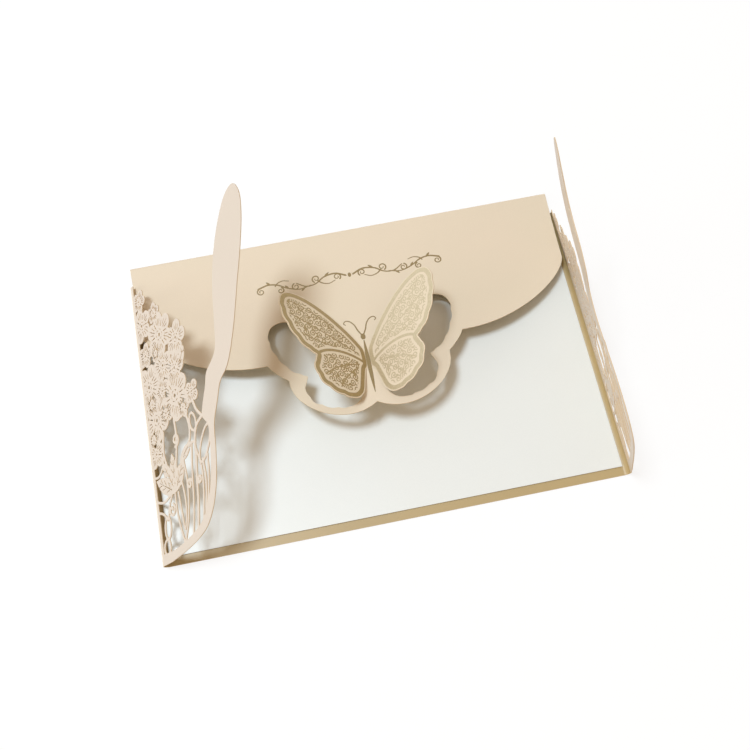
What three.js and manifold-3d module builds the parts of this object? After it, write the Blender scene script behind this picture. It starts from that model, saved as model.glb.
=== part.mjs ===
// Gate-fold wedding invitation card, standing half open: one folded sheet of pearl
// card with two laser-cut lace gates and a top flap that carries a die-cut butterfly,
// and a separate insert card lying on the base panel.
// Millimetres, +X along the card, +Y to the back, +Z up, origin under the base panel.
import * as THREE from 'three';
import { mergeVertices } from 'three/addons/utils/BufferGeometryUtils.js';
import Module from 'manifold-3d';

const wasm = await Module();
wasm.setup();
const { Manifold, Mesh: SolidMesh } = wasm;

// Card and folds
const cardWidth = 186;
const cardDepth = 130;
const cardThickness = 0.35;
const gateFoldRadius = 2.5;
const leftGateLean = 49.3;
const rightGateLean = 78.5;
const flapFoldRadius = 1.2;
const flapStartTilt = 1;
const flapTilt = 11;
const flapCurveLength = 45;

// Insert card
const insertThickness = 0.35;
const insertSideMargin = 2.3;
const insertFrontMargin = 3.6;
const insertRearMargin = 3.2;
const restGap = 0.3;

// Top flap outline, measured across from the middle and down from the rear fold
const flapSideInset = 0.6;
const flapSideTaper = 1.7;
const flapSideLength = 32.4;
const frameCornerAcross = 40.5;
const frameCornerDown = 58.8;
const frameIndentAcross = 32.9;
const frameIndentDown = 67.6;
const frameFootDown = 84.4;

// Butterfly
const wingSpan = 77;
const wingRootTop = 60;
const bodyWidth = 1.8;
const leftWingLift = 38;
const rightWingLift = 38;
const wingRootOverlap = 0.5;

// Lace gates, measured across from the fold and up from the front edge
const laceRearEnd = 120;
const hingeStripWidth = 1.2;
const foldArcAllowance = 2.6;
const rightLaceScale = 0.9;
const vineWidth = 1.3;
const fineVineWidth = 1;

const radians = THREE.MathUtils.degToRad;
const halfWidth = cardWidth / 2;
const halfDepth = cardDepth / 2;
const arcStep = radians(13);
const cutDepth = 60;

// Lengths of sheet before the outlines are cut out of it
const gateRun = 92;
const flapRun = 60;
const rearOverlap = 12;

function solidOf(geometry) {
  geometry.deleteAttribute('normal');
  geometry.deleteAttribute('uv');
  const welded = mergeVertices(geometry, 1e-5);
  return new Manifold(new SolidMesh({
    numProp: 3,
    vertProperties: new Float32Array(welded.attributes.position.array),
    triVerts: new Uint32Array(welded.index.array),
  }));
}

function prism(shape, depth, curveSegments = 6) {
  const geometry = new THREE.ExtrudeGeometry(shape, { depth, bevelEnabled: false, curveSegments });
  return solidOf(geometry);
}

function union(solids) {
  return solids.reduce((whole, solid) => whole.add(solid));
}

function placed(solid, matrix) {
  return solid.transform(matrix.elements);
}

// Walks along the outer face of a bent sheet. Returns matching points of both faces,
// and the frame at the end: position, heading and the normal into the sheet.
function walkSheet(start, steps) {
  const outer = [start.clone()];
  const inner = [];
  const position = start.clone();
  const heading = new THREE.Vector2(1, 0);
  const normal = new THREE.Vector2(0, 1);
  const origin = new THREE.Vector2(0, 0);
  inner.push(position.clone().addScaledVector(normal, cardThickness));
  for (const step of steps) {
    if (step.run) {
      position.addScaledVector(heading, step.run);
      outer.push(position.clone());
      inner.push(position.clone().addScaledVector(normal, cardThickness));
      continue;
    }
    const count = Math.max(3, Math.ceil(Math.abs(step.turn) / (step.fine ?? arcStep)));
    const side = Math.sign(step.turn);
    const centre = position.clone().addScaledVector(normal, side * step.radius);
    for (let k = 0; k < count; k += 1) {
      position.rotateAround(centre, step.turn / count);
      heading.rotateAround(origin, step.turn / count);
      normal.rotateAround(origin, step.turn / count);
      outer.push(position.clone());
      inner.push(position.clone().addScaledVector(normal, cardThickness));
    }
  }
  return { outer, inner, position, heading, normal };
}

function mirrored(points) {
  return points.map((point) => new THREE.Vector2(-point.x, point.y));
}

// A closed smooth outline through the points.
function smoothShape(points, perSpan) {
  const curve = new THREE.CatmullRomCurve3(
    points.map(([x, y]) => new THREE.Vector3(x, y, 0)), true, 'centripetal');
  const count = points.length * perSpan;
  const outline = [];
  for (let k = 0; k < count; k += 1) {
    const point = curve.getPoint(k / count);
    outline.push(new THREE.Vector2(point.x, point.y));
  }
  return new THREE.Shape(outline);
}

// A vine: a band of card along a smooth line, narrower at its far end.
function vine(points, width, taper = 0.7, perSpan = 3) {
  const line = new THREE.CatmullRomCurve3(
    points.map(([x, y]) => new THREE.Vector3(x, y, 0)), false, 'centripetal');
  const count = (points.length - 1) * perSpan;
  const oneSide = [];
  const otherSide = [];
  for (let k = 0; k <= count; k += 1) {
    const along = k / count;
    const point = line.getPoint(along);
    const tangent = line.getTangent(along);
    const half = width * (1 - (1 - taper) * along) / 2;
    oneSide.push(new THREE.Vector2(point.x - tangent.y * half, point.y + tangent.x * half));
    otherSide.push(new THREE.Vector2(point.x + tangent.y * half, point.y - tangent.x * half));
  }
  return prism(new THREE.Shape([...otherSide, ...oneSide.reverse()]), cutDepth);
}

// A spiral scroll that curls in towards its centre.
function scroll(x, y, radius, startTurn, turns, width) {
  const points = [];
  const count = Math.ceil(turns * 8);
  for (let k = 0; k <= count; k += 1) {
    const along = k / count;
    const angle = radians(startTurn) + turns * along * 2 * Math.PI;
    const reach = radius * (1 - 0.72 * along);
    points.push([x + reach * Math.cos(angle), y + reach * Math.sin(angle)]);
  }
  return vine(points, width, 1, 2);
}

// A leaf or a single petal between its foot and its tip.
function leafShape(footX, footY, tipX, tipY, width) {
  const across = new THREE.Vector2(tipY - footY, footX - tipX).setLength(width);
  const middleX = (footX + tipX) / 2;
  const middleY = (footY + tipY) / 2;
  const shape = new THREE.Shape();
  shape.moveTo(footX, footY);
  shape.quadraticCurveTo(middleX + across.x, middleY + across.y, tipX, tipY);
  shape.quadraticCurveTo(middleX - across.x, middleY - across.y, footX, footY);
  return shape;
}

function leaf(footX, footY, tipX, tipY, width) {
  return prism(leafShape(footX, footY, tipX, tipY, width), cutDepth, 4);
}

function ring(x, y, radiusX, radiusY, width, turn) {
  const shape = new THREE.Shape();
  shape.absellipse(x, y, radiusX + width / 2, radiusY + width / 2, 0, 2 * Math.PI, false, turn);
  const hole = new THREE.Path();
  hole.absellipse(x, y, radiusX - width / 2, radiusY - width / 2, 0, 2 * Math.PI, false, turn);
  shape.holes.push(hole);
  return prism(shape, cutDepth, 9);
}

// A blossom of round petals, with a slit along each petal and a pierced eye.
function blossom(x, y, radius, petals, turn, pierced = true) {
  const share = Math.PI / petals;
  const ratio = 1.12 * Math.sin(share);
  const petalReach = radius / (1 + ratio);
  const petalRadius = petalReach * ratio;
  const notchReach = petalReach * Math.cos(share)
    + Math.sqrt(petalRadius ** 2 - (petalReach * Math.sin(share)) ** 2);
  const sweep = Math.atan2(
    notchReach * Math.sin(share), notchReach * Math.cos(share) - petalReach);
  const shape = new THREE.Shape();
  for (let k = 0; k < petals; k += 1) {
    const angle = radians(turn) + 2 * share * k;
    const centreX = x + petalReach * Math.cos(angle);
    const centreY = y + petalReach * Math.sin(angle);
    shape.absarc(centreX, centreY, petalRadius, angle - sweep, angle + sweep, false);
  }
  let solid = prism(shape, cutDepth, 3);
  if (!pierced) {
    return solid;
  }
  for (let k = 0; k < petals; k += 1) {
    const angle = radians(turn) + 2 * share * k;
    const slit = leafShape(
      x + 0.3 * radius * Math.cos(angle), y + 0.3 * radius * Math.sin(angle),
      x + 0.76 * radius * Math.cos(angle), y + 0.76 * radius * Math.sin(angle),
      0.14 * radius);
    solid = solid.subtract(prism(slit, cutDepth, 2));
  }
  return solid;
}

// The plain strip and the horn that edge a gate: the outer side from the fold to the
// horn's tip, then the inner side back to the fold.
const leftBandOutline = [
  [-5, 0], [14, 0.6], [30, 3.4], [37.5, 6.4], [43, 12], [47, 20], [49.6, 31], [51, 40.5],
  [55, 47.6], [58.6, 53.6], [64.6, 57.5], [71.4, 68], [78.7, 84.3], [83.7, 95.5],
  [87.8, 108], [88.4, 116], [85.6, 121], [80.6, 120.4], [74.5, 114.8], [66.8, 102.2],
  [62.4, 88], [60.6, 76.9], [58.4, 66.4], [54.6, 63], [50.6, 60.6], [48.4, 55.6],
  [45.4, 50.4], [43.8, 45.8], [46.8, 41.6], [46.2, 32], [43.8, 22], [40.4, 15],
  [35.6, 9.8], [29, 6.8], [14, 4], [-5, 3.4],
];
const rightBandOutline = [
  [-5, 0], [14, 0.4], [30, 1.8], [39.6, 4.4], [44, 10], [46, 18], [46, 28], [44.4, 38],
  [42.6, 47], [43, 55], [46.4, 61.4], [54, 66.5], [59, 74], [61, 83], [65, 91],
  [73, 99], [79, 104.4], [80.6, 107.6], [77.6, 108.6], [70, 106.4], [59.4, 101.4],
  [51.4, 94], [47, 85], [45, 77], [42.4, 71], [38.6, 66], [36, 60], [35.8, 52],
  [38.8, 43], [41.4, 34], [42.6, 24], [41.4, 14], [37, 8.2], [29, 5.6], [14, 4], [-5, 3.4],
];

// The lace of one gate, across from the fold and up from the front edge.
function laceSolid(bandOutline, acrossScale) {
  const edge = hingeStripWidth + foldArcAllowance;
  const hinge = new THREE.Shape([
    new THREE.Vector2(-5, 0), new THREE.Vector2(edge, 0),
    new THREE.Vector2(edge, laceRearEnd), new THREE.Vector2(-5, laceRearEnd),
  ]);
  const motifs = [
    blossom(7.6, 113.4, 6.4, 5, 60),
    blossom(7.4, 99.4, 7.6, 5, 100),
    blossom(20.6, 89.6, 9.8, 6, 30),
    blossom(32.4, 83, 7.4, 5, 70),
    blossom(7.6, 71.8, 9.4, 6, 0),
    blossom(20.4, 75.8, 6.4, 5, 20),
    blossom(26.4, 60.8, 10.4, 6, 90),
    blossom(10.6, 56.4, 8.6, 5, 50),
    blossom(7, 43.4, 6, 5, 90),
    blossom(7.6, 85.6, 5.4, 5, 0, false),
    leaf(38.2, 44, 40, 67, 6.4),
    leaf(32, 70, 37.4, 77.6, 4.4),
    vine([[35, 57], [38, 50], [37, 43], [32, 36]], vineWidth),
    ring(41.8, 38, 3.8, 6.6, fineVineWidth, radians(-16)),
    ring(35.6, 47.4, 2.6, 3.4, fineVineWidth, radians(20)),
    vine([[45, 46.5], [38.4, 44.4], [33, 41.4], [28, 42.4], [24.6, 37], [21.4, 30]], vineWidth),
    leaf(24, 34.6, 33.4, 39.6, 4.4),
    vine([[23.4, 52], [23.6, 45], [21.8, 38], [19, 29]], vineWidth),
    vine([[14, 50], [12.6, 42], [14.6, 35], [18.6, 29]], vineWidth),
    leaf(18.4, 24.6, 4.6, 31, 6.4),
    leaf(18.4, 24.6, 11, 36.6, 6),
    leaf(18.4, 24.6, 18.6, 38.6, 5.8),
    leaf(18.4, 24.6, 26.4, 35, 6),
    vine([[18, 27], [19.4, 20], [17, 13], [11, 7], [6, 3]], vineWidth, 1),
    vine([[19, 21], [23.6, 14], [28, 9.8], [33, 7.6]], fineVineWidth, 1),
    vine([[20.4, 26], [26.6, 19], [32, 13.4], [37, 11]], fineVineWidth, 1),
    vine([[24, 30], [31, 24.6], [36.2, 18], [40.4, 14.4]], fineVineWidth, 1),
    vine([[32, 37.6], [36.6, 31], [40.6, 25], [44, 22.4]], fineVineWidth, 1),
    scroll(38.6, 26.6, 4.6, 60, 1.3, fineVineWidth),
    scroll(8.6, 16.4, 5.8, 200, 1.3, fineVineWidth),
    scroll(27, 27.4, 3.6, 20, 1.2, fineVineWidth),
    leaf(12, 9.4, 4, 11.8, 3.2),
    leaf(16.4, 14, 23.4, 8.4, 3.4),
    leaf(31.8, 16, 36.4, 22.4, 3.4),
    vine([[3, 25], [8, 23.4], [13.6, 24.6], [18, 27]], fineVineWidth, 1),
  ];
  return union(motifs).scale([acrossScale, 1, 1])
    .add(prism(smoothShape(bandOutline, 3), cutDepth))
    .add(prism(hinge, cutDepth));
}

// Half of the top flap's outline beyond its straight sides: the scallop and the frame.
function flapShape() {
  const side = halfWidth - flapSideInset;
  const foot = side - flapSideTaper;
  const shape = new THREE.Shape();
  shape.moveTo(side, -6);
  shape.lineTo(side, 0);
  shape.lineTo(foot, flapSideLength);
  shape.bezierCurveTo(
    foot - 2.2, flapSideLength + 9.6, 65.5, frameCornerDown + 1.2,
    frameCornerAcross, frameCornerDown);
  shape.quadraticCurveTo(
    frameIndentAcross + 5.4, frameIndentDown - 4.4, frameIndentAcross, frameIndentDown);
  shape.bezierCurveTo(
    frameIndentAcross + 1, frameIndentDown + 13, 14, frameFootDown + 9.8, 0, frameFootDown);
  shape.bezierCurveTo(
    -14, frameFootDown + 9.8, -frameIndentAcross - 1, frameIndentDown + 13,
    -frameIndentAcross, frameIndentDown);
  shape.quadraticCurveTo(
    -frameIndentAcross - 5.4, frameIndentDown - 4.4, -frameCornerAcross, frameCornerDown);
  shape.bezierCurveTo(
    -65.5, frameCornerDown + 1.2, 2.2 - foot, flapSideLength + 9.6, -foot, flapSideLength);
  shape.lineTo(-side, 0);
  shape.lineTo(-side, -6);
  return shape;
}

// One wing laid flat, across from the body and down from the rear fold.
const wingScale = wingSpan / 77;
const wingOutline = [
  [0, 0], [1.5, -2.4], [5.3, -6.6], [10.5, -11.2], [16.2, -15.4], [22.3, -18.8],
  [27.6, -20.6], [32.6, -21], [36, -19.2], [37.6, -15.4], [37.2, -10], [35.4, -4.8],
  [32.4, 0.6], [29, 4.4], [26, 6.4], [24.2, 7.2], [25.9, 11], [25.6, 15.4], [23.4, 19.6],
  [20.1, 22], [16, 23.8], [11.3, 24.6], [7.3, 23.8], [4.4, 20.8], [2.6, 15], [1, 9.4],
  [0, 8],
].map(([across, down]) => [bodyWidth / 2 + across * wingScale, wingRootTop + down * wingScale]);

function wingShape() {
  return smoothShape(wingOutline, 3);
}

// Puts a drawing in (across, along) onto a plane given by its origin and axes, with
// the drawing's depth centred on that plane.
function planeMatrix(origin, across, along, depth) {
  const normal = new THREE.Vector3().crossVectors(across, along);
  const start = origin.clone().addScaledVector(normal, -depth / 2);
  return new THREE.Matrix4().makeBasis(across, along, normal).setPosition(start);
}

function coverSolid() {
  const straight = halfWidth - gateFoldRadius;
  const rightTurn = radians(180 - rightGateLean);
  const leftTurn = radians(180 - leftGateLean);
  const steps = (turn) => [
    { run: straight }, { turn, radius: gateFoldRadius }, { run: gateRun },
  ];
  const start = new THREE.Vector2(0, 0);
  const right = walkSheet(start, steps(rightTurn));
  const left = walkSheet(start, steps(leftTurn));

  // The base panel and both gates, bent from one strip of card.
  const crossSection = new THREE.Shape([
    ...mirrored(left.outer).reverse().slice(0, -1), ...right.outer.slice(1),
    ...right.inner.slice(1).reverse(), ...mirrored(left.inner).slice(1),
  ]);
  const upright = new THREE.Matrix4().makeBasis(
    new THREE.Vector3(1, 0, 0), new THREE.Vector3(0, 0, 1), new THREE.Vector3(0, -1, 0));
  upright.setPosition(0, halfDepth, 0);
  const strip = placed(prism(crossSection, cardDepth), upright);

  const frontY = -halfDepth;
  const rearFoldStart = halfDepth - flapFoldRadius;
  const gate = (walk, turn, side, lace) => {
    const arcLength = (gateFoldRadius - cardThickness / 2) * turn;
    const along = new THREE.Vector3(side * walk.heading.x, 0, walk.heading.y);
    const gateEnd = new THREE.Vector3(side * walk.position.x, frontY, walk.position.y);
    const origin = gateEnd.addScaledVector(along, -gateRun - arcLength / 2);
    const matrix = planeMatrix(origin, along, new THREE.Vector3(0, 1, 0), 0);
    matrix.multiply(new THREE.Matrix4().makeTranslation(0, 0, -cutDepth / 2));
    return placed(lace, matrix);
  };
  const block = (x0, x1, y0, y1, z0, z1) => {
    const shape = new THREE.Shape([
      new THREE.Vector2(x0, y0), new THREE.Vector2(x1, y0),
      new THREE.Vector2(x1, y1), new THREE.Vector2(x0, y1),
    ]);
    return prism(shape, z1 - z0).translate([0, 0, z0]);
  };
  const side = halfWidth - flapSideInset;
  const base = strip.intersect(
    block(-straight, straight, frontY, rearFoldStart, -1, 1));
  const folded = strip.subtract(
    block(-straight, straight, -cardWidth, cardWidth, -1, 1));
  const leftGate = folded.intersect(gate(left, leftTurn, -1, laceSolid(leftBandOutline, 1)));
  const rightGate = folded.intersect(gate(right, rightTurn, 1, laceSolid(rightBandOutline, rightLaceScale)));
  const shoulder = block(
    -side, side, frontY + laceRearEnd - 2, rearFoldStart, 0, cardThickness);

  // The top flap: a tight fold at the back, a slow curve, then a straight run.
  const flapWalk = walkSheet(new THREE.Vector2(rearFoldStart - rearOverlap, 0), [
    { run: rearOverlap },
    { turn: radians(180 - flapStartTilt), radius: flapFoldRadius },
    {
      turn: radians(flapStartTilt - flapTilt),
      radius: flapCurveLength / radians(flapTilt - flapStartTilt),
      fine: radians(1.7),
    },
    { run: flapRun },
  ]);
  const flapSection = new THREE.Shape([...flapWalk.outer, ...flapWalk.inner.reverse()]);
  const sideways = new THREE.Matrix4().makeBasis(
    new THREE.Vector3(0, 1, 0), new THREE.Vector3(0, 0, 1), new THREE.Vector3(1, 0, 0));
  sideways.setPosition(-halfWidth, 0, 0);
  const flapStrip = placed(prism(flapSection, cardWidth), sideways);

  const down = new THREE.Vector3(0, flapWalk.heading.x, flapWalk.heading.y);
  const straightEnd = new THREE.Vector3(0, flapWalk.position.x, flapWalk.position.y);
  const flapOrigin = straightEnd.addScaledVector(down, -flapRun - flapCurveLength);
  const acrossAxis = new THREE.Vector3(1, 0, 0);
  const flapMatrix = planeMatrix(flapOrigin, acrossAxis, down, cutDepth);
  const wingHole = prism(wingShape(), cutDepth);
  const mirror = new THREE.Matrix4().makeScale(-1, 1, 1);
  const flapCut = prism(flapShape(), cutDepth, 14)
    .subtract(wingHole)
    .subtract(placed(wingHole, mirror));
  const flap = flapStrip.intersect(placed(flapCut, flapMatrix));

  // The wings, folded up from the body along their roots.
  const outward = new THREE.Vector3(0, flapWalk.normal.x, flapWalk.normal.y).negate();
  const rootStrip = block(
    bodyWidth / 2 - wingRootOverlap, bodyWidth / 2 + 0.6,
    wingRootTop + 0.4, wingRootTop + 8, 0, cardThickness);
  const wingPlate = prism(wingShape(), cardThickness).add(rootStrip)
    .translate([-bodyWidth / 2, 0, -cardThickness]);
  const wing = (wingSide, lift) => {
    const angle = radians(lift);
    const reach = new THREE.Vector3(wingSide, 0, 0).multiplyScalar(Math.cos(angle))
      .addScaledVector(outward, Math.sin(angle));
    const root = flapOrigin.clone();
    root.x = wingSide * bodyWidth / 2;
    const face = new THREE.Vector3().crossVectors(reach, down).multiplyScalar(-wingSide);
    const matrix = new THREE.Matrix4().makeBasis(reach, down, face).setPosition(root);
    return placed(wingPlate, matrix);
  };

  return union([
    base, leftGate, rightGate, shoulder, flap,
    wing(-1, leftWingLift), wing(1, rightWingLift),
  ]);
}

function insertSolid() {
  const side = halfWidth - insertSideMargin;
  const shape = new THREE.Shape([
    new THREE.Vector2(-side, insertFrontMargin - halfDepth),
    new THREE.Vector2(side, insertFrontMargin - halfDepth),
    new THREE.Vector2(side, halfDepth - insertRearMargin),
    new THREE.Vector2(-side, halfDepth - insertRearMargin),
  ]);
  return prism(shape, insertThickness).translate([0, 0, cardThickness + restGap]);
}

function meshOf(name, solid, look) {
  const data = solid.getMesh();
  const geometry = new THREE.BufferGeometry();
  geometry.setAttribute('position', new THREE.BufferAttribute(data.vertProperties, 3));
  geometry.setIndex(new THREE.BufferAttribute(data.triVerts, 1));
  geometry.computeVertexNormals();
  const mesh = new THREE.Mesh(geometry, new THREE.MeshStandardMaterial(look));
  mesh.name = name;
  return mesh;
}

const card = new THREE.Group();
card.name = 'wedding_invitation_card';
card.add(
  meshOf('cover_sheet', coverSolid(), { color: '#ead9bf', roughness: 0.45, metalness: 0.05 }),
  meshOf('insert_card', insertSolid(), { color: '#eceadf', roughness: 0.4, metalness: 0.05 }),
);

export default card;
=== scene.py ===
"""Visual model of a gate-fold wedding invitation card, standing half open.

One folded sheet of pearl card carries two laser-cut lace gates and a top flap with a die-cut
butterfly, and a separate insert card lies on its base panel. Drawings of the flat sheet are
made as distance fields in millimetres, traced to outlines, filled and bent to the folded card.
Sizes are in millimetres and angles in degrees, unless a name or a comment says otherwise.
"""

import logging
import math
from dataclasses import dataclass, field
from enum import Enum
from typing import Callable, Iterable, Sequence

import bpy
import numpy as np
from mathutils import Matrix, Vector
from mathutils.geometry import delaunay_2d_cdt


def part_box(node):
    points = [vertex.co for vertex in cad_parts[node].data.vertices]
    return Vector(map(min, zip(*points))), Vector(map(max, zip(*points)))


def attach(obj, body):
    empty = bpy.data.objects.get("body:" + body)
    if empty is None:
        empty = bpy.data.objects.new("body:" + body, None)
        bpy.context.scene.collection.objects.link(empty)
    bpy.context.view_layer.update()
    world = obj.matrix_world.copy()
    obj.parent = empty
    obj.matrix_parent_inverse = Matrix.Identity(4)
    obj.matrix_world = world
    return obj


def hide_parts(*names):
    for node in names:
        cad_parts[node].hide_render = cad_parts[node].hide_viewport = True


LOG = logging.getLogger("invitation_card")
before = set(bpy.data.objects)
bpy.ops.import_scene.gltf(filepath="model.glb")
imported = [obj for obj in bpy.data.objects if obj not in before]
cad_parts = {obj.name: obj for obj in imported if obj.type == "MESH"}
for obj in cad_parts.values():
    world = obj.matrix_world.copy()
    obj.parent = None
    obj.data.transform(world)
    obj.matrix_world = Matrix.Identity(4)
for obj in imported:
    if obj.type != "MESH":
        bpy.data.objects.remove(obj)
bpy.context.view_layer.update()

MM = 0.001
COVER_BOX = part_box("cover_sheet")
HALF_WIDTH = 93.0
HALF_DEPTH = COVER_BOX[1].y / MM
CARD_THICKNESS = 0.35
GATE_FOLD_RADIUS = 2.5
FLAP_FOLD_RADIUS = 1.2
FLAP_START_TILT = 1.0
FLAP_TILT = 11.0
FLAP_CURVE_LENGTH = 45.0
LACE_REAR_END = 120.0
# Foil stands this far above the card's face and is pressed this far into it
FOIL_DEPTHS = (-0.03, 0.01)
# Keeps divisions away from 0, and evens out rounding along a profile
TINY = 1e-9
# The distance field's value where no form reaches
FAR_OUTSIDE = 50.0
# How near to a grid point an outline may pass, as a share of the grid's step
CROSSING_MARGIN = 0.06
# How far a point that is left out may lie from the traced outline
OUTLINE_TOLERANCE = 0.018
# Outlines with fewer points are specks of the grid
SMALLEST_LOOP = 6
# Card bends smoothly below this angle, and a cut edge stays sharp
SHARP_ANGLE = 32.0

Point = tuple[float, float]
Box = tuple[float, float, float, float]
Pair = tuple[int, int]
Placement = Callable[[np.ndarray, np.ndarray, np.ndarray], np.ndarray]


class Side(Enum):
    """The side of the card that a piece is on, as the sign of its x."""

    LEFT = -1
    RIGHT = 1


class Face(Enum):
    """Material slots of a card sheet."""

    OUTER = 0
    INNER = 1
    CUT_EDGE = 2


def linear(hex_colour: str) -> tuple[float, float, float, float]:
    """Turns an sRGB hex colour to linear light.

    Args:
        hex_colour: Six hex digits after a hash sign.

    Returns:
        Linear red, green and blue, with an alpha of 1.
    """
    parts = [int(hex_colour[k : k + 2], 16) / 255 for k in (1, 3, 5)]
    red, green, blue = (c / 12.92 if c <= 0.04045 else ((c + 0.055) / 1.055) ** 2.4 for c in parts)
    return (red, green, blue, 1.0)


# Lines and curves of the flat sheet


def rectangle(low: Point, high: Point) -> np.ndarray:
    """Draws the closed line of a rectangle between two corners."""
    return np.array([low, (high[0], low[1]), high, (low[0], high[1])], float)


def smooth_line(points: Sequence[Point], per_span: int = 6, closed: bool = False) -> np.ndarray:
    """Draws a smooth centripetal line through points.

    Args:
        points: The points that the line passes.
        per_span: Steps between two points.
        closed: Whether the line comes back to its first point.

    Returns:
        The line's points, one row each.
    """
    at = np.array(points, float)
    if closed:
        at = np.vstack([at[-1], at, at[0], at[1]])
    else:
        at = np.vstack([2 * at[0] - at[1], at, 2 * at[-1] - at[-2]])
    steps = np.linspace(0, 1, per_span, endpoint=False)[:, None]
    spans = []
    for before, start, end, after in zip(at[:-3], at[1:-2], at[2:-1], at[3:]):
        first, middle, last = (
            max(np.linalg.norm(b - a), 1e-6) ** 0.5
            for a, b in ((before, start), (start, end), (end, after))
        )
        way = (end - start) / middle
        leave = middle * ((start - before) / first - (end - before) / (first + middle) + way)
        arrive = middle * (way - (after - start) / (middle + last) + (after - end) / last)
        cubic = 2 * start - 2 * end + leave + arrive
        square = 3 * end - 3 * start - 2 * leave - arrive
        spans.append(cubic * steps**3 + square * steps**2 + leave * steps + start)
    line = np.vstack(spans)
    return line if closed else np.vstack([line, at[-2]])


def bezier(start: Point, first: Point, second: Point, end: Point, count: int) -> np.ndarray:
    """Draws a cubic curve up to, but without, its last point.

    Args:
        start: Where the curve starts.
        first: The handle of the start.
        second: The handle of the end.
        end: Where the curve ends.
        count: Number of points.

    Returns:
        The curve's points, one row each.
    """
    t = np.linspace(0, 1, count, endpoint=False)[:, None]
    handles = [np.array(p, float) for p in (start, first, second, end)]
    shares = ((1 - t) ** 3, 3 * t * (1 - t) ** 2, 3 * t**2 * (1 - t), t**3)
    return sum(share * handle for share, handle in zip(shares, handles))


def spiral(
    centre: Point, radius: float, start_turn: float, turns: float, close: float = 0.28
) -> np.ndarray:
    """Draws a scroll that curls in towards its centre.

    Args:
        centre: Centre of the scroll.
        radius: Radius at its open end.
        start_turn: Direction of its open end, in degrees.
        turns: Number of turns, negative for clockwise.
        close: Share of the radius that is left at the inner end.

    Returns:
        The scroll's points, one row each.
    """
    along = np.linspace(0, 1, max(8, int(abs(turns) * 18)))
    angle = math.radians(start_turn) + turns * along * 2 * math.pi
    reach = radius * (1 - (1 - close) * along)
    return np.stack([centre[0] + reach * np.cos(angle), centre[1] + reach * np.sin(angle)], 1)


# Forms: each knows its distance field, negative inside


@dataclass(frozen=True)
class Form:
    """A flat form that is added to a drawing or cut out of it."""

    def box(self) -> Box:
        """Lowest and highest x and y of the form."""
        raise NotImplementedError

    def distance(self, x: np.ndarray, y: np.ndarray) -> np.ndarray:
        """Distance to the form's edge, negative inside."""
        raise NotImplementedError


@dataclass(frozen=True)
class Oval(Form):
    """An ellipse, or a disc where both radii are the same."""

    centre: Point
    radii: Point

    def box(self) -> Box:
        """Gives the box of the disc round the oval.

        Returns:
            Lowest x, lowest y, highest x and highest y.
        """
        reach = max(self.radii)
        x, y = self.centre
        return (x - reach, y - reach, x + reach, y + reach)

    def distance(self, x: np.ndarray, y: np.ndarray) -> np.ndarray:
        """Measures how far points lie from the oval's edge.

        Args:
            x: The points' x.
            y: Their y.

        Returns:
            The distances, negative inside.
        """
        dx, dy = x - self.centre[0], y - self.centre[1]
        ratio = np.hypot(dx / self.radii[0], dy / self.radii[1])
        slope = np.hypot(dx / self.radii[0] ** 2, dy / self.radii[1] ** 2)
        return np.where(slope > TINY, ratio * (ratio - 1) / np.maximum(slope, TINY), -min(self.radii))


@dataclass(frozen=True)
class Stroke(Form):
    """A band along a line, which may change its width from one end to the other."""

    line: np.ndarray
    width: float
    end_width: float | None = None

    def box(self) -> Box:
        """Gives the box of the band at its widest.

        Returns:
            Lowest x, lowest y, highest x and highest y.
        """
        half = max(self.width, self.end_width or 0) / 2
        low, high = self.line.min(0) - half, self.line.max(0) + half
        return (low[0], low[1], high[0], high[1])

    def distance(self, x: np.ndarray, y: np.ndarray) -> np.ndarray:
        """Measures how far points lie from the band's edge.

        Args:
            x: The points' x.
            y: Their y.

        Returns:
            The distances, negative inside.
        """
        end_width = self.width if self.end_width is None else self.end_width
        halves = np.linspace(self.width, end_width, len(self.line)) / 2
        nearest = np.full(np.broadcast(x, y).shape, FAR_OUTSIDE)
        for k in range(len(self.line) - 1):
            start, step = self.line[k], self.line[k + 1] - self.line[k]
            dx, dy = x - start[0], y - start[1]
            along = np.clip((dx * step[0] + dy * step[1]) / max(step @ step, TINY), 0, 1)
            gap = np.hypot(dx - along * step[0], dy - along * step[1])
            np.minimum(nearest, gap - halves[k] - (halves[k + 1] - halves[k]) * along, out=nearest)
        return nearest


@dataclass(frozen=True)
class Outline(Form):
    """The inside of a closed line."""

    line: np.ndarray

    def box(self) -> Box:
        """Lowest and highest x and y of the outline."""
        low, high = self.line.min(0), self.line.max(0)
        return (low[0], low[1], high[0], high[1])

    def distance(self, x: np.ndarray, y: np.ndarray) -> np.ndarray:
        """Measures how far points lie from the outline.

        Args:
            x: The points' x.
            y: Their y.

        Returns:
            The distances, negative inside.
        """
        nearest = np.full(np.broadcast(x, y).shape, FAR_OUTSIDE)
        inside = np.zeros(nearest.shape, bool)
        for start, end in zip(self.line, np.roll(self.line, -1, 0)):
            step = end - start
            dx, dy = x - start[0], y - start[1]
            along = np.clip((dx * step[0] + dy * step[1]) / max(step @ step, TINY), 0, 1)
            np.minimum(nearest, np.hypot(dx - along * step[0], dy - along * step[1]), out=nearest)
            crosses = (start[1] > y) != (end[1] > y)
            rise = step[1] if abs(step[1]) > 1e-12 else 1e-12
            inside ^= crosses & (dx < dy * step[0] / rise)
        return np.where(inside, -nearest, nearest)


AddsAndCuts = tuple[list[Form], list[Form]]


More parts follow.
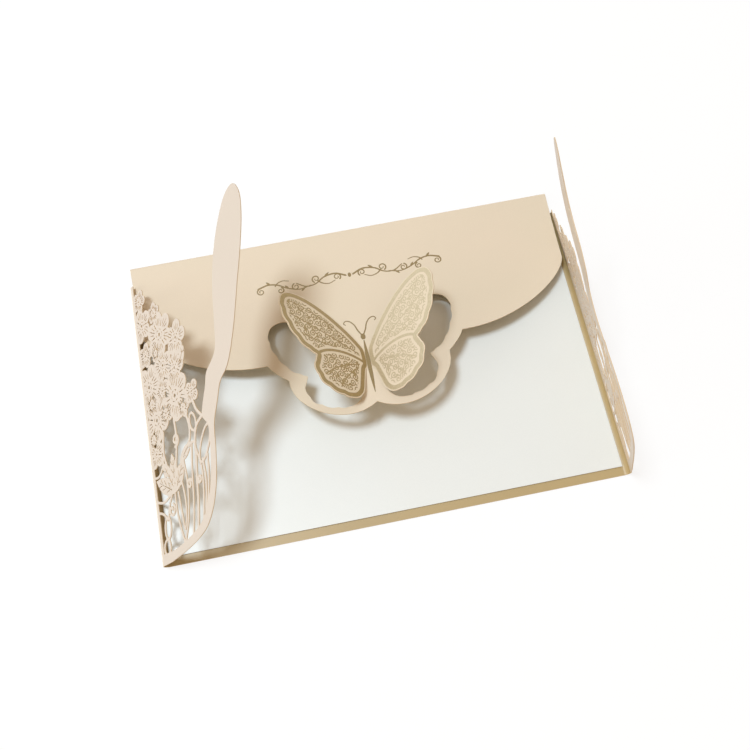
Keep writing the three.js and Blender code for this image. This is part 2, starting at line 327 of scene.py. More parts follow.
def leaf(foot: Point, tip: Point, width: float, count: int = 10) -> np.ndarray:
    """Draws a leaf between its foot and its tip.

    Args:
        foot: Where the leaf starts.
        tip: Where it ends.
        width: How far the handles of both sides stand out.
        count: Points on each side.

    Returns:
        The leaf's closed line.
    """
    foot_at, tip_at = np.array(foot, float), np.array(tip, float)
    across = np.array([tip_at[1] - foot_at[1], foot_at[0] - tip_at[0]])
    across *= width / np.linalg.norm(across)
    middle = (foot_at + tip_at) / 2
    t = np.linspace(0, 1, count, endpoint=False)[:, None]
    there = foot_at * (1 - t) ** 2 + 2 * t * (1 - t) * (middle + across) + tip_at * t**2
    back = tip_at * (1 - t) ** 2 + 2 * t * (1 - t) * (middle - across) + foot_at * t**2
    return np.vstack([there, back])


class FlatDrawing:
    """A drawing of flat card as a distance field on a grid, negative where card is."""

    def __init__(self, box: Box, step: float) -> None:
        """Starts an empty drawing.

        Args:
            box: Lowest and highest x and y, in millimetres.
            step: Grid step, in millimetres.
        """
        self.step = step
        self.xs = np.arange(box[0], box[2] + step, step)
        self.ys = np.arange(box[1], box[3] + step, step)
        self.field = np.full((len(self.ys), len(self.xs)), FAR_OUTSIDE)

    def _window(self, form: Form, stretch: float) -> tuple[slice, slice]:
        """Finds the part of the grid that a form reaches.

        Args:
            form: The form to place.
            stretch: Scale of the form along x.

        Returns:
            Slices of the rows and of the columns.
        """
        x0, y0, x1, y1 = form.box()
        margin = 3 * self.step
        columns = np.searchsorted(self.xs, [x0 * stretch - margin, x1 * stretch + margin])
        rows = np.searchsorted(self.ys, [y0 - margin, y1 + margin])
        return slice(*rows), slice(*columns)

    def _distance(self, form: Form, window: tuple[slice, slice], stretch: float) -> np.ndarray:
        """Distances to a form over a part of the grid."""
        x, y = np.meshgrid(self.xs[window[1]] / stretch, self.ys[window[0]])
        return form.distance(x, y)

    def add(self, forms: Iterable[Form], stretch: float = 1.0) -> None:
        """Adds card where the forms are.

        Args:
            forms: The forms to add.
            stretch: Scale of the forms along x.
        """
        for form in forms:
            window = self._window(form, stretch)
            distance = self._distance(form, window, stretch)
            self.field[window] = np.minimum(self.field[window], distance)

    def cut(self, forms: Iterable[Form], stretch: float = 1.0) -> None:
        """Cuts the forms out of the card.

        Args:
            forms: The forms to cut.
            stretch: Scale of the forms along x.
        """
        for form in forms:
            window = self._window(form, stretch)
            distance = self._distance(form, window, stretch)
            self.field[window] = np.maximum(self.field[window], -distance)

    def keep_joined(self, seed: Point) -> None:
        """Takes away card that isn't joined to a seed, because it would fall out of the real sheet.

        Args:
            seed: A point on the card that stays.
        """
        inside = self.field < 0
        joined = np.zeros(inside.shape, bool)
        work = [(int(np.searchsorted(self.ys, seed[1])), int(np.searchsorted(self.xs, seed[0])))]
        while work:
            row, column = work.pop()
            joined[row, column] = True
            for near in ((row + 1, column), (row - 1, column), (row, column + 1), (row, column - 1)):
                if inside[near] and not joined[near]:
                    joined[near] = True
                    work.append(near)
        loose = inside & ~joined
        self.field[loose] = np.abs(self.field[loose])

    def loops(self) -> list[np.ndarray]:
        """Traces the card's outlines, with the card on the left of each.

        Returns:
            Closed lines, one array of points each.
        """
        # A value of exactly 0 would put an outline on a grid point
        values = np.where(np.abs(self.field) < 1e-6, 1e-6, self.field)
        values[[0, -1], :] = FAR_OUTSIDE
        values[:, [0, -1]] = FAR_OUTSIDE
        inside = values < 0
        flat = inside[:, :-1] != inside[:, 1:]
        upright = inside[:-1, :] != inside[1:, :]
        flat_ids = np.full(flat.shape, -1)
        flat_ids[flat] = np.arange(flat.sum())
        upright_ids = np.full(upright.shape, -1)
        upright_ids[upright] = flat.sum() + np.arange(upright.sum())
        rows, columns = np.nonzero(flat)
        share = crossing(values[rows, columns], values[rows, columns + 1])
        points = [np.stack([self.xs[columns] + share * self.step, self.ys[rows]], 1)]
        rows, columns = np.nonzero(upright)
        share = crossing(values[rows, columns], values[rows + 1, columns])
        points.append(np.stack([self.xs[columns], self.ys[rows] + share * self.step], 1))
        at = np.vstack(points)
        case = inside[:-1, :-1] + 2 * inside[:-1, 1:] + 4 * inside[1:, 1:] + 8 * inside[1:, :-1]
        sides = (flat_ids[:-1, :], upright_ids[:, 1:], flat_ids[1:, :], upright_ids[:, :-1])
        bottom, right, top, left = range(4)
        # The outlines' ways through a cell, by which of its corners are card
        passes = {
            1: [(bottom, left)], 2: [(right, bottom)], 3: [(right, left)], 4: [(top, right)],
            5: [(bottom, left), (top, right)], 6: [(top, bottom)], 7: [(top, left)],
            8: [(left, top)], 9: [(bottom, top)], 10: [(right, bottom), (left, top)],
            11: [(right, top)], 12: [(left, right)], 13: [(bottom, right)], 14: [(left, bottom)],
        }
        follows = np.full(len(at), -1)
        for number, pairs in passes.items():
            cells = case == number
            for start, end in pairs:
                follows[sides[start][cells]] = sides[end][cells]
        whole = [loop for loop in chained(follows) if len(loop) >= SMALLEST_LOOP]
        return [shortened(at[loop]) for loop in whole]


def crossing(before: np.ndarray, after: np.ndarray) -> np.ndarray:
    """Finds where outlines pass between pairs of grid points.

    Args:
        before: The field at the first points.
        after: The field at the second points, on the other side of the outline.

    Returns:
        Shares of the way from the first point to the second.
    """
    return np.clip(before / (before - after), CROSSING_MARGIN, 1 - CROSSING_MARGIN)


def chained(follows: np.ndarray) -> list[list[int]]:
    """Gathers points that follow one another into loops.

    Args:
        follows: For each point, the number of the next one.

    Returns:
        The point numbers of each loop.
    """
    used = np.zeros(len(follows), bool)
    loops = []
    for first in range(len(follows)):
        if used[first]:
            continue
        loop = []
        point = first
        while not used[point]:
            used[point] = True
            loop.append(point)
            point = int(follows[point])
        loops.append(loop)
    return loops


def shortened(loop: np.ndarray) -> np.ndarray:
    """Leaves out the points of a loop that its shape doesn't need.

    Args:
        loop: The points of a closed line.

    Returns:
        The points that stay.
    """
    half = len(loop) // 2
    keep = {0, half}
    closed = np.vstack([loop, loop[0]])
    work = [(0, half), (half, len(loop))]
    while work:
        start, end = work.pop()
        if end - start < 2:
            continue
        step = closed[end] - closed[start]
        between = closed[start + 1 : end] - closed[start]
        length = max(float(np.hypot(*step)), TINY)
        gaps = np.abs(between[:, 0] * step[1] - between[:, 1] * step[0]) / length
        widest = int(gaps.argmax())
        if gaps[widest] > OUTLINE_TOLERANCE:
            middle = start + 1 + widest
            keep.add(middle)
            work += [(start, middle), (middle, end)]
    return loop[sorted(keep)]


def card_triangles(triangles: list[tuple[int, ...]], outlines: set[Pair]) -> list[tuple[int, ...]]:
    """Keeps the triangles that lie on card, by counting the outlines crossed on the way in.

    Args:
        triangles: Triangles of the whole drawing and of what lies round it.
        outlines: Edges that lie on an outline, lowest point number first.

    Returns:
        The triangles inside.
    """
    beside: dict[Pair, list[int]] = {}
    for number, corners in enumerate(triangles):
        for a, b in zip(corners, corners[1:] + corners[:1]):
            beside.setdefault((min(a, b), max(a, b)), []).append(number)
    inside: dict[int, bool] = {}
    work = []
    for edge, numbers in beside.items():
        if len(numbers) == 1 and numbers[0] not in inside:
            inside[numbers[0]] = edge in outlines
            work.append(numbers[0])
    while work:
        number = work.pop()
        corners = triangles[number]
        for a, b in zip(corners, corners[1:] + corners[:1]):
            edge = (min(a, b), max(a, b))
            for other in beside[edge]:
                if other not in inside:
                    inside[other] = inside[number] != (edge in outlines)
                    work.append(other)
    return [corners for number, corners in enumerate(triangles) if inside[number]]


# Sheets of card


@dataclass
class BentLine:
    """The outer face of a folded sheet seen from its end: straight runs and arcs in a row."""

    start: Point
    runs: list[tuple[float, float, float]] = field(default_factory=list)

    def straight(self, length: float) -> "BentLine":
        """Adds a straight run."""
        self.runs.append((length, 0.0, 0.0))
        return self

    def arc(self, turn: float, radius: float) -> "BentLine":
        """Adds an arc, turned towards the inner face where turn is above 0.

        Args:
            turn: Angle of the arc, in degrees.
            radius: Radius of the outer face.

        Returns:
            The line itself.
        """
        angle = math.radians(turn)
        self.runs.append((abs(angle) * radius, angle, radius))
        return self

    def at(self, along: np.ndarray, depth: np.ndarray) -> np.ndarray:
        """Finds points on the folded sheet.

        Args:
            along: Distances along the outer face.
            depth: Distances from the outer face into the sheet.

        Returns:
            Two coordinates for each point, one row each.
        """
        result = np.zeros((len(along), 2))
        position = np.array(self.start, float)
        heading = 0.0
        travelled = 0.0
        for number, (length, angle, radius) in enumerate(self.runs):
            last = number == len(self.runs) - 1
            here = (along >= travelled - TINY) & (last | (along <= travelled + length + TINY))
            gone = along[here] - travelled
            turned = heading + (np.sign(angle) * gone / radius if radius else 0 * gone)
            if radius:
                side = np.sign(angle)
                centre = position + side * radius * np.array([-math.sin(heading), math.cos(heading)])
                reach = radius - side * depth[here]
                result[here, 0] = centre[0] + side * reach * np.sin(turned)
                result[here, 1] = centre[1] - side * reach * np.cos(turned)
                position = centre + side * radius * np.array(
                    [math.sin(heading + angle), -math.cos(heading + angle)]
                )
            else:
                ahead = np.array([math.cos(heading), math.sin(heading)])
                result[here, 0] = position[0] + gone * ahead[0] - depth[here] * ahead[1]
                result[here, 1] = position[1] + gone * ahead[1] + depth[here] * ahead[0]
                position = position + length * ahead
            heading += angle
            travelled += length
        return result


@dataclass
class MeshParts:
    """Corners and faces of a mesh while it is made, in millimetres."""

    corners: list[np.ndarray] = field(default_factory=list)
    faces: list[tuple[int, ...]] = field(default_factory=list)
    slots: list[int] = field(default_factory=list)

    def count(self) -> int:
        """Number of corners so far."""
        return sum(len(block) for block in self.corners)

    def add_cut_sheet(
        self, drawing: FlatDrawing, place: Placement, depths: Point, inner_points: Sequence[Point] = ()
    ) -> None:
        """Fills a drawing and puts it in place as a sheet with cut edges.

        Args:
            drawing: The flat drawing.
            place: Gives the points of the folded sheet from x, y and depth.
            depths: Depth of the outer and of the inner face.
            inner_points: Points inside the card that help it to bend.
        """
        coords = []
        edges = []
        for loop in drawing.loops():
            first = len(coords)
            coords += [Vector(p) for p in loop]
            edges += [(first + k, first + (k + 1) % len(loop)) for k in range(len(loop))]
        coords += [Vector(p) for p in inner_points]
        # Every triangle of the plane is kept here, and points within a nanometre are merged
        filled = delaunay_2d_cdt(coords, edges, [], 0, 1e-6)
        flat = np.array([tuple(p) for p in filled[0]])
        outlines = {tuple(sorted(pair)) for pair, source in zip(filled[1], filled[4]) if source}
        triangles = card_triangles([tuple(face) for face in filled[2]], outlines)
        base, total = self.count(), len(flat)
        for depth in depths:
            self.corners.append(place(flat[:, 0], flat[:, 1], np.full(total, depth)))
        ways = {(a, b) for t in triangles for a, b in zip(t, t[1:] + t[:1])}
        for triangle in triangles:
            self._face([base + k for k in triangle], Face.OUTER)
            self._face([base + total + k for k in reversed(triangle)], Face.INNER)
        for a, b in ways:
            if (b, a) not in ways:
                self._face([base + b, base + a, base + total + a, base + total + b], Face.CUT_EDGE)

    def add_swept_sheet(self, stops: Sequence[float], place: Placement, ends: Point) -> None:
        """Sweeps the profile of a folded sheet between two ends.

        Args:
            stops: Distances along the profile that get a row of corners.
            place: Gives the points from profile distance, sweep and depth.
            ends: Where the sweep starts and ends.
        """
        along = np.array(stops, float)
        base, total = self.count(), len(along)
        for end in ends:
            for depth in (0.0, CARD_THICKNESS):
                self.corners.append(place(along, np.full(total, end), np.full(total, depth)))
        for k in range(total - 1):
            a, b, c, d = (base + row * total + k for row in range(4))
            self._face([a, a + 1, c + 1, c], Face.OUTER)
            self._face([b, d, d + 1, b + 1], Face.INNER)
            self._face([a, b, b + 1, a + 1], Face.CUT_EDGE)
            self._face([c, c + 1, d + 1, d], Face.CUT_EDGE)
        for k in (0, total - 1):
            a, b, c, d = (base + row * total + k for row in range(4))
            self._face([a, c, d, b] if k == 0 else [a, b, d, c], Face.CUT_EDGE)

    def _face(self, corners: list[int], slot: Face) -> None:
        """Adds one face."""
        self.faces.append(tuple(corners))
        self.slots.append(slot.value)

    def build(
        self, name: str, materials: Sequence[bpy.types.Material], slot: str
    ) -> bpy.types.Object:
        """Makes the Blender piece, which rides on the card's only body.

        Args:
            name: Name of the piece.
            materials: Materials of the outer face, the inner face and the cut edge.
            slot: Name of a material slot; not used.

        Returns:
            The new object.
        """
        mesh = bpy.data.meshes.new(name)
        mesh.from_pydata((np.vstack(self.corners) * MM).tolist(), [], self.faces)
        for material in materials:
            mesh.materials.append(material)
        last = len(materials) - 1
        mesh.polygons.foreach_set("material_index", [min(s, last) for s in self.slots])
        mesh.polygons.foreach_set("use_smooth", [True] * len(self.faces))
        mesh.set_sharp_from_angle(angle=math.radians(SHARP_ANGLE))
        turn_outwards(mesh)
        mesh.update()
        piece = bpy.data.objects.new(name, mesh)
        bpy.context.scene.collection.objects.link(piece)
        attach(piece, "root")
        LOG.info("%s: %d corners, %d faces", name, len(mesh.vertices), len(mesh.polygons))
        return piece


def turn_outwards(mesh: bpy.types.Mesh) -> None:
    """Turns the faces of a closed mesh over where its volume comes out below 0.

    Args:
        mesh: The mesh.
    """
    mesh.calc_loop_triangles()
    corners = np.array([v.co for v in mesh.vertices])
    triangles = np.array([t.vertices for t in mesh.loop_triangles])
    a, b, c = (corners[triangles[:, k]] for k in range(3))
    if np.einsum("ij,ij->i", a, np.cross(b, c)).sum() < 0:
        mesh.flip_normals()


# Finishes


def add_node(
    tree: bpy.types.NodeTree, kind: str, settings: dict[str, object] | None = None, **links: object
) -> bpy.types.Node:
    """Adds a node with its settings and links.

    Args:
        tree: The node tree.
        kind: The node's type.
        settings: Values of the node's own properties.
        links: Input values or output sockets, by the input's name or number after "i".

    Returns:
        The new node.
    """
    node = tree.nodes.new(kind)
    for name, value in (settings or {}).items():
        setattr(node, name, value)
    for name, value in links.items():
        number = name[1:]
        if name[0] == "i" and number.isdigit():
            socket = node.inputs[int(number)]
        else:
            socket = node.inputs[name.replace("_", " ")]
        if isinstance(value, bpy.types.NodeSocket):
            tree.links.new(value, socket)
        else:
            socket.default_value = value
    return node


def new_material(name: str) -> tuple[bpy.types.Material, bpy.types.NodeTree, bpy.types.Node]:
    """Makes an empty node material.

    Args:
        name: Name of the material.

    Returns:
        The material, its tree and its output node.
    """
    material = bpy.data.materials.new(name)
    material.use_nodes = True
    tree = material.node_tree
    tree.nodes.clear()
    return material, tree, add_node(tree, "ShaderNodeOutputMaterial")


@dataclass(frozen=True)
class PearlCard:
    """Pearl card, 280 g a square metre, coated with a mica wash.

    The coat gives the eye a satin sheen that drifts between cream and peach, over the fine
    felt-side grain of the paper.
    """

    name: str
    cream: str
    peach: str
    roughness: float = 0.46
    coat: float = 0.12
    cloud_mm: float = 60.0
    # The paper's real grain is about 0.15 mm, drawn coarser so that it shows
    grain_mm: float = 0.55
    grain_height_mm: float = 0.012
    # Lightness of the grain's darkest and lightest flecks
    flecks: Point = (0.965, 1.03)

    def build(self) -> bpy.types.Material:
        """Makes the card's material.

        Returns:
            The material.
        """
        material, tree, output = new_material(self.name)
        place = add_node(tree, "ShaderNodeTexCoord").outputs["Object"]
        cloud = add_node(
            tree, "ShaderNodeTexNoise", Vector=place, Scale=1 / (self.cloud_mm * MM), Detail=2.0
        )
        grain = add_node(
            tree, "ShaderNodeTexNoise", Vector=place, Scale=1 / (self.grain_mm * MM),
            Detail=4.0, Roughness=0.65,
        )
        fleck = add_node(
            tree, "ShaderNodeMapRange", Value=grain.outputs["Fac"],
            To_Min=self.flecks[0], To_Max=self.flecks[1],
        )
        drift = add_node(
            tree, "ShaderNodeMix", {"data_type": "RGBA"},
            i0=cloud.outputs["Fac"], i6=linear(self.cream), i7=linear(self.peach),
        )
        tone = add_node(
            tree, "ShaderNodeVectorMath", {"operation": "SCALE"},
            i0=drift.outputs[2], Scale=fleck.outputs["Result"],
        )
        satin = add_node(
            tree, "ShaderNodeMapRange", Value=grain.outputs["Fac"],
            To_Min=self.roughness - 0.06, To_Max=self.roughness + 0.08,
        )
        bump = add_node(
            tree, "ShaderNodeBump", Strength=0.6, Distance=self.grain_height_mm * MM,
            Height=grain.outputs["Fac"],
        )
        shader = add_node(
            tree, "ShaderNodeBsdfPrincipled", Base_Color=tone.outputs[0],
            Roughness=satin.outputs["Result"], Normal=bump.outputs[0], IOR=1.5, Metallic=0.0,
            Coat_Weight=self.coat, Coat_Roughness=0.32,
        )
        tree.links.new(shader.outputs[0], output.inputs["Surface"])
        return material


@dataclass(frozen=True)
class GoldFoil:
    """Hot-stamped gold foil, pressed into pearl card.

    The foil picks up the card's grain, so it looks like satin metal that is darker where it
    turns away from the light.
    """

    name: str
    light: str
    dark: str
    metallic: float = 0.75
    roughness: float = 0.42
    # Foil breaks up over the card's grain at about 0.3 mm, drawn coarser so that it shows
    grain_mm: float = 0.8
    grain_height_mm: float = 0.015

    def build(self) -> bpy.types.Material:
        """Makes the foil's material.

        Returns:
            The material.
        """
        material, tree, output = new_material(self.name)
        place = add_node(tree, "ShaderNodeTexCoord").outputs["Object"]
        grain = add_node(
            tree, "ShaderNodeTexNoise", Vector=place, Scale=1 / (self.grain_mm * MM), Detail=3.0
        )
        tone = add_node(
            tree, "ShaderNodeMix", {"data_type": "RGBA"},
            i0=grain.outputs["Fac"], i6=linear(self.dark), i7=linear(self.light),
        )
        satin = add_node(
            tree, "ShaderNodeMapRange", Value=grain.outputs["Fac"],
            To_Min=self.roughness - 0.1, To_Max=self.roughness + 0.1,
        )
        bump = add_node(
            tree, "ShaderNodeBump", Strength=0.5, Distance=self.grain_height_mm * MM,
            Height=grain.outputs["Fac"],
        )
        shader = add_node(
            tree, "ShaderNodeBsdfPrincipled", Base_Color=tone.outputs[2], Metallic=self.metallic,
            Roughness=satin.outputs["Result"], Normal=bump.outputs[0],
        )
        tree.links.new(shader.outputs[0], output.inputs["Surface"])
        return material


@dataclass(frozen=True)
class StudioFloor:
    """Matt white paper sweep, which looks white to the camera and keeps a soft shadow."""

    name: str = "white_paper_sweep"
    colour: str = "#F4F4F2"
    shadow_share: float = 0.24
    glow: float = 1.06

    def build(self) -> bpy.types.Material:
        """Makes the floor's material.

        Returns:
            The material.
        """
        material, tree, output = new_material(self.name)
        seen = seen_directly(tree)
        share = add_node(
            tree, "ShaderNodeMath", {"operation": "MULTIPLY"}, i0=seen, i1=1 - self.shadow_share
        )
        paper = add_node(tree, "ShaderNodeBsdfDiffuse", Color=linear(self.colour))
        white = add_node(tree, "ShaderNodeEmission", Color=linear("#FFFFFF"), Strength=self.glow)
        mixed = add_node(
            tree, "ShaderNodeMixShader", i0=share.outputs[0], i1=paper.outputs[0], i2=white.outputs[0]
        )
        tree.links.new(mixed.outputs[0], output.inputs["Surface"])
        return material


def seen_directly(tree: bpy.types.NodeTree) -> bpy.types.NodeSocket:
    """Adds nodes that give 1 for rays seen directly, in a reflection or through glass.

    Args:
        tree: The node tree.

    Returns:
        The socket with the result.
    """
    path = add_node(tree, "ShaderNodeLightPath")
    first = add_node(
        tree, "ShaderNodeMath", {"operation": "MAXIMUM"},
        i0=path.outputs["Is Camera Ray"], i1=path.outputs["Is Glossy Ray"],
    )
    both = add_node(
        tree, "ShaderNodeMath", {"operation": "MAXIMUM"},
        i0=first.outputs[0], i1=path.outputs["Is Transmission Ray"],
    )
    return both.outputs[0]


@dataclass(frozen=True)
class CardFinishes:
    """The materials of the whole card."""

    outer: bpy.types.Material
    gate: bpy.types.Material
    inner: bpy.types.Material
    edge: bpy.types.Material
    insert: bpy.types.Material
    # The wings' two foils are copies of one gold foil, darkened with painted shade on the left and
    # lightened with a painted highlight on the right
    left_foil: bpy.types.Material
    right_foil: bpy.types.Material
    print_foil: bpy.types.Material

    @classmethod
    def make(cls) -> "CardFinishes":
        """Makes every material once.

        Returns:
            The card's materials.
        """
        return cls(
            outer=PearlCard("pearl_card_outer", "#E5D9BF", "#EDDBC3").build(),
            # The gates are the same pearl card as the rest of the sheet; this copy is darker as painted
            # shade, holding the lace down where its faces turn towards the lamps
            gate=PearlCard("pearl_card_gate_painted_shade", "#D8CCBB", "#DCCFC1").build(),
            # The sheet's inner side is gold toned; this colour is also deepened as painted shade, taken
            # from the shaded strip of base panel in front of the insert
            inner=PearlCard("pearl_card_inner_painted_shade", "#B09968", "#C4AB7A", roughness=0.4).build(),
            # A laser leaves the cut edge lightly toasted
            edge=PearlCard("laser_cut_card_edge", "#E0CCAC", "#D6BB92", roughness=0.7, coat=0.0).build(),
            insert=PearlCard("pearl_card_insert", "#EFF3F0", "#EEF0EA", roughness=0.42).build(),
            # Both wings carry one and the same foil: this left copy is darkened with painted shade, as the
            # left wing turns away from the key lamp, and the right copy is lightened with a painted
            # highlight, as the right wing faces it
            left_foil=GoldFoil("gold_foil_with_painted_shade", "#BBA477", "#927C54").build(),
            right_foil=GoldFoil("gold_foil_with_painted_light", "#E2D6BA", "#C6B58F").build(),
            print_foil=GoldFoil("hot_stamped_bronze_foil", "#9C8660", "#83704B").build(),
        )

    def sheet(self) -> list[bpy.types.Material]:
        """Materials of the cover sheet's faces and cut edge."""
        return [self.outer, self.inner, self.edge]

    def lace(self) -> list[bpy.types.Material]:
        """Materials of a gate's faces, in the darker copy of the card with painted shade, and of its cut
        edge.
        """
        return [self.gate, self.gate, self.edge]


# Sub-assemblies


@dataclass
class LaceGate:
    """One laser-cut gate: a plain horn along its free edge and lace up to its fold."""

    side: Side
    lean: float
    band: list[Point]
    stretch: float = 1.0
    flat_length: float = 92.0
    hinge_width: float = 3.8
    # How much further the fine vines reach than they are drawn
    vine_reach: float = 0.0
    vine: float = 1.25
    fine_vine: float = 0.95
    # How much wider a scroll is at its inner end
    scroll_swell: float = 1.25
    # Width of a slit, and the share of it that is left at a slit's far end
    slit: float = 0.42
    slit_taper: float = 0.6
    # Width of the finest slits, as a share of the usual one
    fine_slit: float = 0.8
    # Card left between the arcs round a blossom's eye, which holds the petals
    petal_neck: float = 0.6
    # Radius of a petal as a share of half the gap between two petals' middles
    petal_bulge: float = 1.12
    # Radii of the hole and of the ring of slits in a blossom's eye, as shares of its radius
    eye_hole: float = 0.075
    eye_ring: float = 0.22
    # Ends of a leaf's rib, and place, spread and slant of its veins, as shares of its length
    rib_ends: Point = (0.2, 0.82)
    first_vein: float = 0.3
    vein_spread: float = 0.4
    vein_slant: float = 0.12
    # How far from the rib a vein starts and ends, as shares of the leaf's width
    vein_ends: Point = (0.09, 0.3)
    grid: float = 0.3

    def turn(self) -> float:
        """Angle of the fold between the base panel and the gate, in degrees."""
        return 180 - self.lean

    def line(self) -> BentLine:
        """Profile from the middle of the base panel, round the fold and up the gate."""
        line = BentLine((0.0, 0.0)).straight(self.fold_start())
        return line.arc(self.turn(), GATE_FOLD_RADIUS).straight(self.flat_length)

    def fold_start(self) -> float:
        """Distance along the profile at which the fold starts."""
        return HALF_WIDTH - GATE_FOLD_RADIUS

    def fold_end(self) -> float:
        """Distance along the profile at which the gate's flat part starts."""
        return self.fold_start() + math.radians(self.turn()) * GATE_FOLD_RADIUS

    def half_arc(self) -> float:
        """Half of the fold's length in the middle of the card."""
        return (GATE_FOLD_RADIUS - CARD_THICKNESS / 2) * math.radians(self.turn()) / 2

    def place_on_profile(self, along: np.ndarray, sweep: np.ndarray, depth: np.ndarray) -> np.ndarray:
        """Points of the folded sheet, with sweep as the y of the frame."""
        bent = self.line().at(along, depth)
        return np.stack([self.side.value * bent[:, 0], sweep, bent[:, 1]], 1)

    def place(self, across: np.ndarray, up: np.ndarray, depth: np.ndarray) -> np.ndarray:
        """Points of the gate from its flat drawing."""
        along = self.fold_end() + across - self.half_arc()
        return self.place_on_profile(along, up - HALF_DEPTH, depth)

    def blossom(self, centre: Point, radius: float, petals: int, turn: float) -> AddsAndCuts:
        """Draws a blossom with slits that mark its petals and its eye.

        Args:
            centre: Centre of the blossom.
            radius: Reach of its petals.
            petals: Number of petals.
            turn: Direction of the first petal, in degrees.

        Returns:
            Forms to add, and forms to cut.
        """
        share = math.pi / petals
        ratio = self.petal_bulge * math.sin(share)
        reach = radius / (1 + ratio)
        hole, ring = self.eye_hole * radius, self.eye_ring * radius
        origin = np.array(centre, float)
        solid: list[Form] = [Oval(centre, (reach, reach))]
        slits: list[Form] = [Oval(centre, (hole, hole))]
        for k in range(petals):
            angle = math.radians(turn) + 2 * share * k
            middle = origin + reach * np.array([math.cos(angle), math.sin(angle)])
            solid.append(Oval(tuple(middle), (reach * ratio, reach * ratio)))
            for offset, start, end, breadth in PETAL_SLITS:
                turned = angle + offset * share
                away = np.array([math.cos(turned), math.sin(turned)])
                ray = np.array([origin + start * radius * away, origin + end * radius * away])
                width = self.slit * breadth
                slits.append(Stroke(ray, width, width * self.slit_taper))
            eye_turns = (share - self.petal_neck / ring) / math.pi
            if eye_turns > 0:
                start_turn = math.degrees(angle + share - eye_turns * math.pi)
                eye = spiral(centre, ring, start_turn, eye_turns, close=1.0)
                slits.append(Stroke(eye, self.slit * self.fine_slit))
        return solid, slits

    def veined_leaf(self, foot: Point, tip: Point, width: float, veins: int) -> AddsAndCuts:
        """Draws a leaf with a slit along its rib and short slits beside it.

        Args:
            foot: Where the leaf starts.
            tip: Where it ends.
            width: How far its sides bulge.
            veins: Slits on each side of the rib.

        Returns:
            Forms to add, and forms to cut.
        """
        start, end = np.array(foot, float), np.array(tip, float)
        way = end - start
        normal = np.array([-way[1], way[0]]) / np.linalg.norm(way)
        rib = np.array([start + end_share * way for end_share in self.rib_ends])
        cuts: list[Form] = [Stroke(rib, self.slit, self.slit * self.slit_taper)]
        for k in range(veins):
            share = self.first_vein + self.vein_spread * k / max(veins - 1, 1)
            for sign in (-1, 1):
                near = start + share * way + sign * self.vein_ends[0] * width * normal
                far = start + (share + self.vein_slant) * way + sign * self.vein_ends[1] * width * normal
                cuts.append(Stroke(np.array([near, far]), self.slit * self.fine_slit))
        return [Outline(leaf(foot, tip, width))], cuts

    def drawing(self) -> FlatDrawing:
        """Draws the gate flat, across from its fold and up from the front edge.

        Returns:
            The drawing.
        """
        # The grid reaches a little past the card on every side
        sheet = FlatDrawing((self.half_arc() - 2.0, -1.5, 91.0, LACE_REAR_END + 3), self.grid)
        adds: list[Form] = []
        cuts: list[Form] = []
        for centre, radius, petals, turn in GATE_BLOSSOMS:
            solid, slits = self.blossom(centre, radius, petals, turn)
            adds += solid
            cuts += slits
        for foot, tip, width, veins in GATE_LEAVES:
            solid, slits = self.veined_leaf(foot, tip, width, veins)
            adds += solid
            cuts += slits
        sheet.add(adds, self.stretch)
        sheet.cut(cuts, self.stretch)
        vines = [Stroke(smooth_line(line), self.vine, self.vine * end) for line, end in GATE_VINES]
        sheet.add(vines, self.stretch)
        for line in GATE_FINE_VINES:
            path = smooth_line(line)
            end_way = (path[-1] - path[-2]) / np.linalg.norm(path[-1] - path[-2])
            path = np.vstack([path, path[-1] + self.vine_reach * end_way])
            sheet.add([Stroke(path, self.fine_vine)], self.stretch)
        for centre, radii, turn in GATE_LOOPS:
            angle = np.linspace(0, 2 * math.pi, 40)
            along, beside = radii[0] * np.cos(angle), radii[1] * np.sin(angle)
            way = math.radians(turn)
            x = centre[0] + along * math.cos(way) - beside * math.sin(way)
            y = centre[1] + along * math.sin(way) + beside * math.cos(way)
            sheet.add([Stroke(np.stack([x, y], 1), self.fine_vine)], self.stretch)
        inner_width = self.scroll_swell * self.fine_vine
        scrolls = [Stroke(spiral(*curl), self.fine_vine, inner_width) for curl in GATE_SCROLLS]
        sheet.add(scrolls, self.stretch)
        sheet.add([Outline(smooth_line(self.band, 5, closed=True))])
        sheet.add([Outline(rectangle((-5.0, 0.0), (self.hinge_width, LACE_REAR_END)))])
        # The fold is swept with the base panel, so the drawing starts where the fold ends
        low, high = (-9.0, -5.0), (99.0, 140.0)
        sheet.cut([Outline(rectangle(low, (self.half_arc(), high[1])))])
        sheet.cut([Outline(rectangle(low, (high[0], 0.0)))])
        sheet.keep_joined((self.hinge_width - self.vine / 2, LACE_REAR_END / 2))
        return sheet

    def build(self, finishes: CardFinishes) -> bpy.types.Object:
        """Builds the gate.

        Args:
            finishes: The card's materials.

        Returns:
            The gate's piece.
        """
        parts = MeshParts()
        parts.add_cut_sheet(self.drawing(), self.place, (0.0, CARD_THICKNESS))
        return parts.build(f"lace_gate_{self.side.name.lower()}", finishes.lace(), "cover_card")


# Slits of each petal: turn as a share of half the petal's angle, start and end as shares of the
# blossom's radius, and width as a share of the usual slit
PETAL_SLITS = (
    (-0.42, 0.48, 0.74, 1.0), (0.0, 0.42, 0.84, 1.0), (0.42, 0.48, 0.74, 1.0), (1.0, 0.38, 0.62, 1.25),
)
